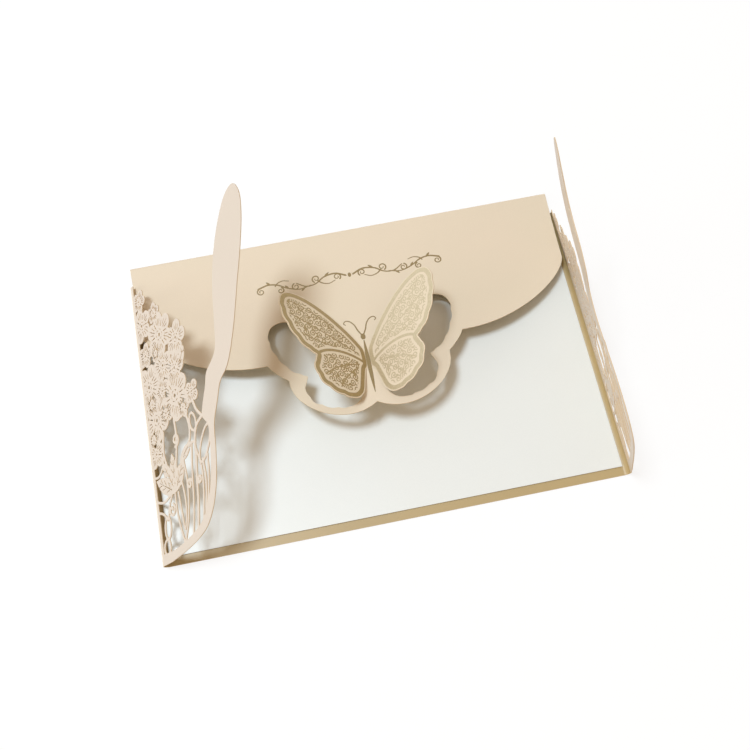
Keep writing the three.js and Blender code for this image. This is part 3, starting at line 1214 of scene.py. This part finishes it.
# Lace of a gate: across from its fold and up from the front edge, in millimetres
GATE_BLOSSOMS = [
    ((7.4, 110.6), 5.2, 5, 60), ((7.4, 99.4), 7.6, 5, 100), ((20.6, 89.6), 9.8, 6, 30),
    ((32.4, 83), 7.4, 5, 70), ((18, 100.4), 4.6, 5, 10), ((28.8, 71.6), 6.9, 5, 0),
    ((20.2, 76.2), 7.2, 5, 20), ((17.6, 66.2), 5.6, 5, 30), ((7.6, 71.8), 9.4, 6, 0),
    ((18.2, 56.6), 5.2, 5, 40), ((26.4, 60.8), 10.4, 6, 90), ((10.6, 56.4), 9.4, 5, 50),
    ((8.4, 64), 5, 5, 10), ((6.4, 49.6), 4.6, 5, 0), ((7, 43.4), 6.2, 5, 90), ((7.6, 85.6), 5.6, 5, 0),
    ((31.4, 54.2), 4.4, 5, 0), ((16, 83.4), 3.8, 5, 15),
    ((38.8, 57.8), 4.9, 4, 45),
]
GATE_LEAVES = [
    ((32, 70), (37.4, 77.6), 4.4, 2), ((24, 34.6), (33.4, 39.6), 4.0, 2), ((18.4, 24.6), (4.6, 33), 6.4, 3),
    ((18.4, 24.6), (11, 38.6), 6, 3), ((18.4, 24.6), (18.6, 40), 5.8, 3), ((18.4, 24.6), (26.4, 35), 6, 3),
]
GATE_VINES = [
    ([(38.6, 54), (40.2, 50), (43.4, 46.4)], 0.9),
    ([(32.2, 52), (33.8, 46), (33, 41), (30, 38.6)], 0.8),
    ([(23.4, 52), (23.6, 45), (21.8, 38), (19, 29)], 0.8),
    ([(14, 50), (12.6, 42), (14.6, 35), (18.6, 29)], 0.8),
    ([(44.4, 46.6), (38.8, 44), (36.4, 39), (36, 34), (34.6, 26), (33.3, 16.7), (30.6, 5.6)], 1.0),
]
GATE_FINE_VINES = [
    [(33.6, 38.4), (31.8, 29), (30.2, 17.7), (26.6, 4.2)],
    [(36.4, 36), (38.6, 28), (38.1, 20.2), (34.9, 7)],
    [(43.6, 31.4), (42.8, 24), (40.8, 17), (37.8, 8.6)],
    [(40.2, 30.6), (40.6, 24), (39.4, 17), (36.6, 8)],
    [(36.6, 38.6), (33.4, 39.2), (29.6, 38.7), (25.7, 35.3), (22.6, 31.2)],
    [(17.6, 26), (17.4, 18), (18.6, 11), (20.6, 4.2)],
    [(20.6, 4.2), (24.2, 10.8), (26.6, 18.6), (27.4, 27), (26.4, 35)],
    [(20, 24), (20.8, 16), (21.8, 9.4), (24, 14.4), (24.4, 22), (23, 29)],
    [(3, 25), (8, 23.4), (13.6, 24.6), (18, 27)],
    [(15.4, 25), (12.6, 21.4), (10.4, 16.4)],
    [(3, 20.6), (6.4, 19.4), (8.8, 17.4), (9.8, 16)],
    [(3, 34.6), (7, 34.2), (10.6, 37), (12.8, 42)],
]
GATE_LOOPS = [
    ((43, 35.8), (7.2, 2.8), 55), ((36.6, 46.4), (3.6, 2.1), 100), ((9.2, 13.1), (4.1, 2.3), 80),
    ((7.2, 6.1), (2.9, 2.3), 75),
]
GATE_SCROLLS = [
    ((22.6, 44), 2.6, 250, 1.2), ((13.8, 18.8), 2.6, 60, -1.1), ((29, 24.6), 1.9, 20, 1.1),
    ((36.2, 24.4), 1.7, 170, 1.1),
]
LEFT_BAND = [
    (-5, 0), (14, 0.6), (30, 3.4), (37.5, 6.4), (43, 12), (47, 20), (49.6, 31), (51, 40.5),
    (55, 47.6), (58.6, 53.6), (64.6, 57.5), (71.4, 68), (78.7, 84.3), (83.7, 95.5),
    (87.8, 108), (88.4, 116), (85.6, 121), (80.6, 120.4), (74.5, 114.8), (66.8, 102.2),
    (62.4, 88), (60.6, 76.9), (58.4, 66.4), (54.6, 63), (50.6, 60.6), (48.4, 55.6),
    (45.4, 50.4), (43.8, 45.8), (46.8, 41.6), (46.2, 32), (43.8, 22), (40.4, 15),
    (35.6, 9.8), (29, 6.8), (14, 4), (-5, 3.4),
]
RIGHT_BAND = [
    (-5, 0), (14, 0.4), (30, 1.8), (39.6, 4.4), (44, 10), (46, 18), (46, 28), (44.4, 38),
    (42.6, 47), (43, 55), (46.4, 61.4), (54, 66.5), (59, 74), (61, 83), (65, 91),
    (73, 99), (79, 104.4), (80.6, 107.6), (77.6, 108.6), (70, 106.4), (59.4, 101.4),
    (51.4, 94), (47, 85), (45, 77), (42.4, 71), (38.6, 66), (36, 60), (35.8, 52),
    (38.8, 43), (41.4, 34), (42.6, 24), (41.4, 14), (37, 8.2), (29, 5.6), (14, 4), (-5, 3.4),
]


@dataclass
class BasePanel:
    """The base panel with the folds along its two sides."""

    left: LaceGate
    right: LaceGate
    fold_steps: int = 28

    def build(self, finishes: CardFinishes) -> bpy.types.Object:
        """Builds the base panel, which stands for the CAD cover sheet.

        Args:
            finishes: The card's materials.

        Returns:
            The panel's piece.
        """
        parts = MeshParts()
        rear = LACE_REAR_END - HALF_DEPTH
        for gate in (self.left, self.right):
            stops = [0.0, *np.linspace(gate.fold_start(), gate.fold_end(), self.fold_steps)]
            parts.add_swept_sheet(stops, gate.place_on_profile, (-HALF_DEPTH, rear))
        piece = parts.build("base_panel", finishes.sheet(), "cover_card")
        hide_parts("cover_sheet")
        return piece


@dataclass
class TopFlap:
    """The top flap: a tight fold at the back, a slow curve and a scalloped front edge."""

    side_inset: float = 0.6
    side_taper: float = 1.7
    side_length: float = 32.4
    corner: Point = (40.5, 58.8)
    indent: Point = (32.9, 67.6)
    foot_down: float = 84.4
    straight_length: float = 60.0
    fold_steps: int = 22
    # Widths of the flourish's scrolls and of the antennae, at both ends
    scroll_widths: Point = (0.62, 0.34)
    antenna_widths: Point = (0.6, 0.36)
    grid: float = 0.45
    print_grid: float = 0.16

    def line(self) -> BentLine:
        """Draws the flap's profile from the base panel's rear part, as y and z of the frame.

        Returns:
            The outer face of the rear fold and of the flap.
        """
        curve = FLAP_CURVE_LENGTH / math.radians(FLAP_TILT - FLAP_START_TILT)
        return (
            BentLine((LACE_REAR_END - HALF_DEPTH, 0.0))
            .straight(self.rear_run())
            .arc(180 - FLAP_START_TILT, FLAP_FOLD_RADIUS)
            .arc(FLAP_START_TILT - FLAP_TILT, curve)
            .straight(self.straight_length)
        )

    def rear_run(self) -> float:
        """Length of the base panel behind the gates."""
        return 2 * HALF_DEPTH - LACE_REAR_END - FLAP_FOLD_RADIUS

    def flap_start(self) -> float:
        """Distance along the profile at which the rear fold ends."""
        return self.rear_run() + math.radians(180 - FLAP_START_TILT) * FLAP_FOLD_RADIUS

    def place_on_profile(self, along: np.ndarray, sweep: np.ndarray, depth: np.ndarray) -> np.ndarray:
        """Points of the folded sheet, with sweep as the x of the frame."""
        bent = self.line().at(along, depth)
        return np.stack([sweep, bent[:, 0], bent[:, 1]], 1)

    def place(self, across: np.ndarray, down: np.ndarray, depth: np.ndarray) -> np.ndarray:
        """Points of the flap from its flat drawing, down from the rear fold."""
        return self.place_on_profile(self.flap_start() + down, across, depth)

    def outline(self) -> np.ndarray:
        """The flap's outline, with the scallop and the frame of the butterfly.

        Returns:
            The closed line.
        """
        side = HALF_WIDTH - self.side_inset
        foot = side - self.side_taper
        corner, indent = self.corner, self.indent
        quarter = (indent[0] + 5.4, indent[1] - 4.4)
        right = np.vstack([
            [[side, -4.0], [side, 0.0]],
            bezier((foot, self.side_length), (foot - 2.2, self.side_length + 9.6),
                   (65.5, corner[1] + 1.2), corner, 40),
            bezier(corner, self._third(corner, quarter), self._third(indent, quarter), indent, 12),
            bezier(indent, (indent[0] + 1, indent[1] + 13), (14, self.foot_down + 9.8),
                   (0, self.foot_down), 40),
        ])
        mirror = right[::-1] * np.array([-1.0, 1.0])
        return np.vstack([right, [[0.0, self.foot_down]], mirror])

    @staticmethod
    def _third(end: Point, handle: Point) -> Point:
        """The cubic handle that stands for a quadratic one."""
        return (end[0] + (handle[0] - end[0]) * 2 / 3, end[1] + (handle[1] - end[1]) * 2 / 3)

    def sheet_drawing(self, wing: "ButterflyWing") -> FlatDrawing:
        """Draws the flap with both wings cut out.

        Args:
            wing: A wing, for its outline.

        Returns:
            The drawing.
        """
        sheet = FlatDrawing((-HALF_WIDTH - 1, -1.5, HALF_WIDTH + 1, self.foot_down + 12), self.grid)
        sheet.add([Outline(self.outline())])
        cutout = wing.flap_outline()
        sheet.cut([Outline(cutout), Outline(cutout * np.array([-1.0, 1.0]))])
        # The rear fold is swept, so the drawing starts where the fold ends
        sheet.cut([Outline(rectangle((-99.0, -9.0), (99.0, 0.0)))])
        return sheet

    def print_drawing(self) -> FlatDrawing:
        """Draws the foil on the flap: a plain scroll flourish, the body and the antennae.

        Returns:
            The drawing.
        """
        # The grid reaches a little past the foil on every side
        sheet = FlatDrawing((-46, 12, 46, self.foot_down + 2), self.print_grid)
        for sign in (-1, 1):
            mirror = np.array([sign, 1.0])
            for line, width, end_width in FLOURISH_LINES:
                sheet.add([Stroke(smooth_line(line, 10) * mirror, width, end_width)])
            for centre, radius, start, turns in FLOURISH_SCROLLS:
                scroll = spiral(centre, radius, start, turns)
                sheet.add([Stroke(scroll * mirror, *self.scroll_widths)])
            for foot, tip, width in FLOURISH_LEAVES:
                sheet.add([Outline(leaf(foot, tip, width) * mirror)])
            sheet.add([Stroke(smooth_line(ANTENNA, 10) * mirror, *self.antenna_widths)])
        # A bead in the middle of the flourish, then the head, the body and the gap between them
        sheet.add([Oval((0, 21.6), (0.75, 1.1))])
        sheet.add([Oval((0, 53.4), (1.0, 1.5)), Outline(leaf((0, 53.5), (0, 81), 1.7, 16))])
        sheet.cut([Stroke(np.array([[-2, 54.9], [2, 54.9]]), 0.3)])
        return sheet

    def build(self, finishes: CardFinishes, wing: "ButterflyWing") -> list[bpy.types.Object]:
        """Builds the flap and the foil on it.

        Args:
            finishes: The card's materials.
            wing: A wing, for its outline.

        Returns:
            The flap's piece and the foil's piece.
        """
        parts = MeshParts()
        side = HALF_WIDTH - self.side_inset
        fold_stops = [0.0, *np.linspace(self.rear_run(), self.flap_start(), self.fold_steps)]
        parts.add_swept_sheet(fold_stops, self.place_on_profile, (-side, side))
        # Rows of points that let the card curve evenly, kept away from the wings' cut-outs
        rows = [
            (across, down)
            for down in np.arange(3.0, FLAP_CURVE_LENGTH + 1, 3.0)
            for across in np.arange(-84.0, 85.0, 4.0)
            if down < 40 or not 20 < abs(across) < 40
        ]
        parts.add_cut_sheet(self.sheet_drawing(wing), self.place, (0.0, CARD_THICKNESS), rows)
        flap = parts.build("top_flap", finishes.sheet(), "cover_card")
        foil = MeshParts()
        foil.add_cut_sheet(self.print_drawing(), self.place, FOIL_DEPTHS)
        return [flap, foil.build("flap_foil", [finishes.print_foil], "cover_card")]


# Foil on the flap: across from the middle and down from the rear fold, in millimetres
FLOURISH_LINES = [
    ([(1.6, 21.5), (6, 19.6), (11, 20.4), (15, 23), (19, 23.4), (23, 21)], 0.8, 0.45),
    ([(17, 23.2), (22, 24.2), (27, 22.6), (31, 20.2), (35, 19.4), (39.4, 20.6)], 0.45, 0.75),
    ([(6.4, 22.9), (9.2, 24), (12, 23.2), (13.6, 21.8)], 0.35, 0.6),
    ([(26, 19.2), (28.6, 18.6), (31, 19.4), (32, 20.6)], 0.35, 0.55),
]
FLOURISH_SCROLLS = [
    ((5.4, 21.4), 1.7, 130, 1.25), ((14.4, 20.6), 1.8, 60, -1.2), ((23.4, 22.6), 1.7, 290, 1.2),
    ((30, 23.2), 1.5, 250, -1.2), ((38.4, 22.2), 1.7, 290, 1.3),
]
FLOURISH_LEAVES = [
    ((10.8, 20.3), (8.4, 18.4), 0.9), ((19.4, 23.4), (21.4, 25.4), 0.9), ((34, 19.5), (35.8, 17.8), 0.9),
    ((26.4, 22.8), (28, 21), 0.8),
]
ANTENNA = [(0.5, 52.2), (1.6, 50), (2.6, 47), (4.2, 44.9), (5.9, 44.4), (6.8, 45.5), (6.1, 46.3)]


@dataclass
class ButterflyWing:
    """One wing of the butterfly, folded up from the body line and stamped with foil."""

    side: Side
    lift: float = 38.0
    root_top: float = 60.0
    body_width: float = 1.8
    border: float = 2.9
    edge_margin: float = 0.45
    keyline: float = 0.62
    # Depth of a scallop, and how far its round part stands out of the wing's smooth line
    scallop_depth: float = 0.5
    scallop_set_out: float = 0.15
    # First and last point of WING_OUTLINE that the scallops lie between, and their number
    scallops: tuple[tuple[int, int, int], ...] = ((9, 15, 4), (15, 21, 4))
    # Half the width of the plain vein, as a share of the border's width
    vein_share: float = 0.42
    line_width: float = 0.43
    # The filigree's scrolls: pitch, and row distance and radius as shares of it, and turns
    scroll_pitch: float = 3.3
    row_share: float = 0.87
    scroll_share: float = 0.47
    scroll_turns: float = 1.35
    # Scrolls are left out whose middle lies further than this outside the filigree's field
    scroll_margin: float = 0.4
    # Widths of a scroll's inner end and of the ribs, as shares of the line width
    scroll_swell: float = 1.3
    rib_swell: float = 1.1
    # Ends of a scroll's leaf as shares of the pitch, and how far its sides bulge
    leaf_ends: Point = (0.3, 0.78)
    leaf_width: float = 0.7
    dot_radius: float = 0.34
    grid: float = 0.16

    def flat_outline(self) -> np.ndarray:
        """Outline of the wing laid flat, with shallow scallops along its outer edges.

        Returns:
            The closed line, across from the wing's root and down from its top.
        """
        line = smooth_line(WING_OUTLINE, 10, closed=True)
        step = np.roll(line, -1, 0) - np.roll(line, 1, 0)
        way = step / np.linalg.norm(step, axis=1)[:, None]
        inward = np.stack([-way[:, 1], way[:, 0]], 1)
        along = np.concatenate([[0.0], np.cumsum(np.linalg.norm(np.diff(line, axis=0), axis=1))])
        depth = np.zeros(len(line))
        for first, last, count in self.scallops:
            start, end = along[first * 10], along[last * 10]
            share = np.clip((along - start) / (end - start), 0, 1)
            wave = 1 - np.abs(np.cos(share * math.pi * count))
            depth += self.scallop_depth * wave * (share > 0) * (share < 1)
        return line + inward * (depth - self.scallop_set_out * (depth > 0))[:, None]

    def flap_outline(self) -> np.ndarray:
        """Outline of the wing as it is cut in the flap."""
        return self.flat_outline() + np.array([self.body_width / 2, self.root_top])

    def place(self, across: np.ndarray, down: np.ndarray, depth: np.ndarray) -> np.ndarray:
        """Finds points of the lifted wing from its flat drawing.

        Args:
            across: Distances from the wing's root.
            down: Distances along the root, towards the card's front edge.
            depth: Distances below the wing's upper face.

        Returns:
            The points in the frame, one row each.
        """
        tilt = math.radians(FLAP_TILT)
        curve = math.radians(FLAP_TILT - FLAP_START_TILT)
        radius = FLAP_CURVE_LENGTH / curve
        start_tilt = math.radians(FLAP_START_TILT)
        end_y = HALF_DEPTH - FLAP_FOLD_RADIUS + FLAP_FOLD_RADIUS * math.sin(start_tilt)
        end_y -= radius * (math.sin(tilt) - math.sin(start_tilt))
        rise = radius * (math.cos(start_tilt) - math.cos(tilt))
        end_z = FLAP_FOLD_RADIUS * (1 + math.cos(start_tilt)) + rise
        run = self.root_top - FLAP_CURVE_LENGTH
        along = np.array([0.0, -math.cos(tilt), math.sin(tilt)])
        outward = np.array([0.0, math.sin(tilt), math.cos(tilt)])
        origin = np.array([self.side.value * self.body_width / 2, end_y, end_z]) + run * along
        lift = math.radians(self.lift)
        reach = np.array([self.side.value * math.cos(lift), 0, 0]) + math.sin(lift) * outward
        face = math.cos(lift) * outward - np.array([self.side.value * math.sin(lift), 0, 0])
        points = origin + np.outer(across, reach) + np.outer(down, along)
        return points - np.outer(depth, face)

    def plate_drawing(self) -> FlatDrawing:
        """Draws the wing's card.

        Returns:
            The drawing.
        """
        sheet = FlatDrawing(WING_BOX, self.grid * 1.5)
        sheet.add([Outline(self.flat_outline())])
        # A strip along the root that joins the wing to the body line
        sheet.add([Outline(rectangle((-0.4, 0.4), (0.6, 8.0)))])
        return sheet

    def foil_drawing(self) -> FlatDrawing:
        """Draws the wing's foil: a plain border, a keyline and a filigree of scrolls.

        Returns:
            The drawing.
        """
        sheet = FlatDrawing(WING_BOX, self.grid)
        x, y = np.meshgrid(sheet.xs, sheet.ys)
        wing = Outline(self.flat_outline()).distance(x, y)
        vein = Stroke(smooth_line(WING_VEIN, 8), 0.0).distance(x, y)
        inner = np.maximum(wing + self.border, self.border * self.vein_share - vein)
        sheet.add(self._filigree(x, y, inner))
        filigree = np.maximum(sheet.field, inner + self.line_width)
        border = np.maximum(wing + self.edge_margin, self.keyline - inner)
        sheet.field = np.minimum(filigree, border)
        return sheet

    def _filigree(self, x: np.ndarray, y: np.ndarray, inner: np.ndarray) -> list[Form]:
        """Scrolls and dots on a staggered grid, and ribs that fan out from the root.

        Args:
            x: Grid coordinates across.
            y: Grid coordinates down.
            inner: Distance to the field inside the border.

        Returns:
            The forms.
        """
        forms: list[Form] = []
        pitch = self.scroll_pitch
        for row, down in enumerate(np.arange(-20.0, 24.0, pitch * self.row_share)):
            for number, across in enumerate(np.arange(1.0 + (row % 2) * pitch / 2, 37.0, pitch)):
                column = int(np.argmin(np.abs(x[0] - across)))
                line = int(np.argmin(np.abs(y[:, 0] - down)))
                if inner[line, column] > self.scroll_margin:
                    continue
                # Neighbouring scrolls start in different directions and curl opposite ways
                turn = 70 * number + 130 * row
                hand = 1 if (row + number) % 2 else -1
                reach = pitch * self.scroll_share
                curl = spiral((across, down), reach, turn, hand * self.scroll_turns, close=0.2)
                forms.append(Stroke(curl, self.line_width, self.line_width * self.scroll_swell))
                tail = math.radians(turn)
                foot, tip = (
                    (across + share * pitch * math.cos(tail), down + share * pitch * math.sin(tail))
                    for share in self.leaf_ends
                )
                forms.append(Outline(leaf(foot, tip, self.leaf_width)))
                dot = (across + pitch / 2, down + 0.28 * pitch)
                forms.append(Oval(dot, (self.dot_radius, self.dot_radius)))
        for rib in WING_RIBS:
            forms.append(Stroke(smooth_line(rib, 8), self.line_width * self.rib_swell))
        return forms

    def build(self, finishes: CardFinishes) -> list[bpy.types.Object]:
        """Builds the wing and its foil.

        Args:
            finishes: The card's materials.

        Returns:
            The wing's piece and the foil's piece.
        """
        name = f"wing_{self.side.name.lower()}"
        plate = MeshParts()
        plate.add_cut_sheet(self.plate_drawing(), self.place, (0.0, CARD_THICKNESS))
        foil = MeshParts()
        foil.add_cut_sheet(self.foil_drawing(), self.place, FOIL_DEPTHS)
        # Painted light: the left wing gets the foil copy darkened with painted shade, the right wing the
        # copy lightened with a painted highlight
        stamped = finishes.left_foil if self.side is Side.LEFT else finishes.right_foil
        return [
            plate.build(name, finishes.sheet(), "cover_card"),
            foil.build(f"{name}_foil", [stamped], "cover_card"),
        ]


# Wing laid flat: across from its root and down from its top, in millimetres
WING_BOX = (-3.0, -23.0, 40.0, 27.0)
WING_OUTLINE = [
    (0, 0), (1.5, -2.4), (5.3, -6.6), (10.5, -11.2), (16.2, -15.4), (22.3, -18.8),
    (27.6, -20.6), (32.6, -21), (36, -19.2), (37.6, -15.4), (37.2, -10), (35.4, -4.8),
    (32.4, 0.6), (29, 4.4), (26, 6.4), (24.2, 7.2), (25.9, 11), (25.6, 15.4), (23.4, 19.6),
    (20.1, 22), (16, 23.8), (11.3, 24.6), (7.3, 23.8), (4.4, 20.8), (2.6, 15), (1, 9.4),
    (0, 8),
]
WING_VEIN = [(-1, 7.4), (4.4, 4.8), (10.6, 3.4), (17, 3.6), (21.6, 5.2), (25.2, 8.2)]
WING_RIBS = [
    [(1.5, 2), (8, -4), (16, -9.6), (26, -14.6), (34, -17)],
    [(2.5, 3), (10, -0.6), (20, -5), (30, -9), (36, -11)],
    [(3, 3.6), (12, 2), (22, 0.4), (32, -2.4)],
    [(2.5, 8), (8, 12), (13, 17), (16, 22)],
    [(3, 7.4), (11, 9.6), (18, 13), (23, 17)],
]


@dataclass
class InsertCard:
    """The loose insert card, whose CAD solid has the right shape and stays."""

    def dress(self, finishes: CardFinishes) -> bpy.types.Object:
        """Gives the insert card its material.

        Args:
            finishes: The card's materials.

        Returns:
            The CAD object.
        """
        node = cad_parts["insert_card"]
        node.data.materials.clear()
        node.data.materials.append(finishes.insert)
        return node


# Studio


@dataclass(frozen=True)
class Softbox:
    """A round, soft lamp that points at the card.

    Its place and diameter are in metres, and its power is in watts.
    """

    name: str
    colour: str
    place: tuple[float, float, float]
    diameter: float
    power: float

    def build(self) -> bpy.types.Object:
        """Makes the lamp.

        Returns:
            The lamp.
        """
        data = bpy.data.lights.new(self.name, "AREA")
        data.shape = "DISK"
        data.size = self.diameter
        data.energy = self.power
        data.color = linear(self.colour)[:3]
        lamp = bpy.data.objects.new(self.name, data)
        lamp.location = self.place
        lamp.rotation_euler = Vector(self.place).to_track_quat("Z", "Y").to_euler()
        bpy.context.scene.collection.objects.link(lamp)
        return lamp


@dataclass
class Studio:
    """White sweep, a warm sky, a high key lamp, a low fill lamp and the camera.

    The camera was fitted to the card's corners in the photograph, and its sizes are in
    millimetres.
    """

    focal_length: float = 43.2
    sensor: float = 36.0
    camera_at: tuple[float, float, float] = (-18.26, -129.93, 350.86)
    camera_right: tuple[float, float, float] = (0.98052, -0.1959, -0.014)
    camera_up: tuple[float, float, float] = (0.18876, 0.9203, 0.34265)
    camera_back: tuple[float, float, float] = (-0.05424, -0.33862, 0.93936)
    # The floor lies just under the card, in metres like the lamps' places
    floor_reach: float = 3.0
    floor_level: float = -0.0002
    sky_strength: float = 0.46
    sky_colour: str = "#FFE4C8"
    key: Softbox = Softbox("key_softbox", "#E2F1FF", (-0.67, 0.31, 2.115), 0.62, 31.6)
    fill: Softbox = Softbox("fill_softbox", "#FFFFFF", (-2.0, -0.35, 0.65), 1.2, 10.0)

    def camera(self) -> bpy.types.Object:
        """Adds the camera at the photograph's place.

        Returns:
            The camera.
        """
        data = bpy.data.cameras.new("camera")
        data.lens = self.focal_length
        data.sensor_width = self.sensor
        data.clip_start = 0.01
        camera = bpy.data.objects.new("camera", data)
        axes = Matrix((self.camera_right, self.camera_up, self.camera_back)).transposed().to_4x4()
        axes.translation = Vector(self.camera_at) * MM
        camera.matrix_world = axes
        bpy.context.scene.collection.objects.link(camera)
        bpy.context.scene.camera = camera
        return camera

    def lights(self) -> None:
        """Adds the sky and both lamps."""
        world = bpy.data.worlds.new("soft_sky")
        bpy.context.scene.world = world
        world.use_nodes = True
        tree = world.node_tree
        tree.nodes.clear()
        output = add_node(tree, "ShaderNodeOutputWorld")
        sky = add_node(
            tree, "ShaderNodeBackground", Color=linear(self.sky_colour), Strength=self.sky_strength
        )
        white = add_node(tree, "ShaderNodeBackground", Color=linear("#FFFFFF"), Strength=1.0)
        mixed = add_node(
            tree, "ShaderNodeMixShader", i0=seen_directly(tree), i1=sky.outputs[0], i2=white.outputs[0]
        )
        tree.links.new(mixed.outputs[0], output.inputs["Surface"])
        self.key.build()
        self.fill.build()

    def floor(self) -> bpy.types.Object:
        """Adds the floor under the card.

        Returns:
            The floor.
        """
        mesh = bpy.data.meshes.new("floor")
        signs = ((-1, -1), (1, -1), (1, 1), (-1, 1))
        corners = [(x * self.floor_reach, y * self.floor_reach, self.floor_level) for x, y in signs]
        mesh.from_pydata(corners, [], [(0, 1, 2, 3)])
        mesh.materials.append(StudioFloor().build())
        floor = bpy.data.objects.new("floor", mesh)
        bpy.context.scene.collection.objects.link(floor)
        return floor

    def build(self) -> None:
        """Builds the whole studio."""
        bpy.context.scene.view_settings.view_transform = "Standard"
        self.camera()
        self.lights()
        self.floor()


def main() -> None:
    """Builds the card piece by piece and the studio round it."""
    logging.basicConfig(level=logging.INFO, format="%(name)s %(message)s")
    finishes = CardFinishes.make()
    left = LaceGate(Side.LEFT, 49.3, LEFT_BAND)
    right = LaceGate(Side.RIGHT, 78.5, RIGHT_BAND, stretch=0.93, vine_reach=2.8)
    BasePanel(left, right).build(finishes)
    left.build(finishes)
    right.build(finishes)
    wings = [ButterflyWing(Side.LEFT), ButterflyWing(Side.RIGHT)]
    TopFlap().build(finishes, wings[0])
    for wing in wings:
        wing.build(finishes)
    InsertCard().dress(finishes)
    Studio().build()


if __name__ == "__main__":
    main()
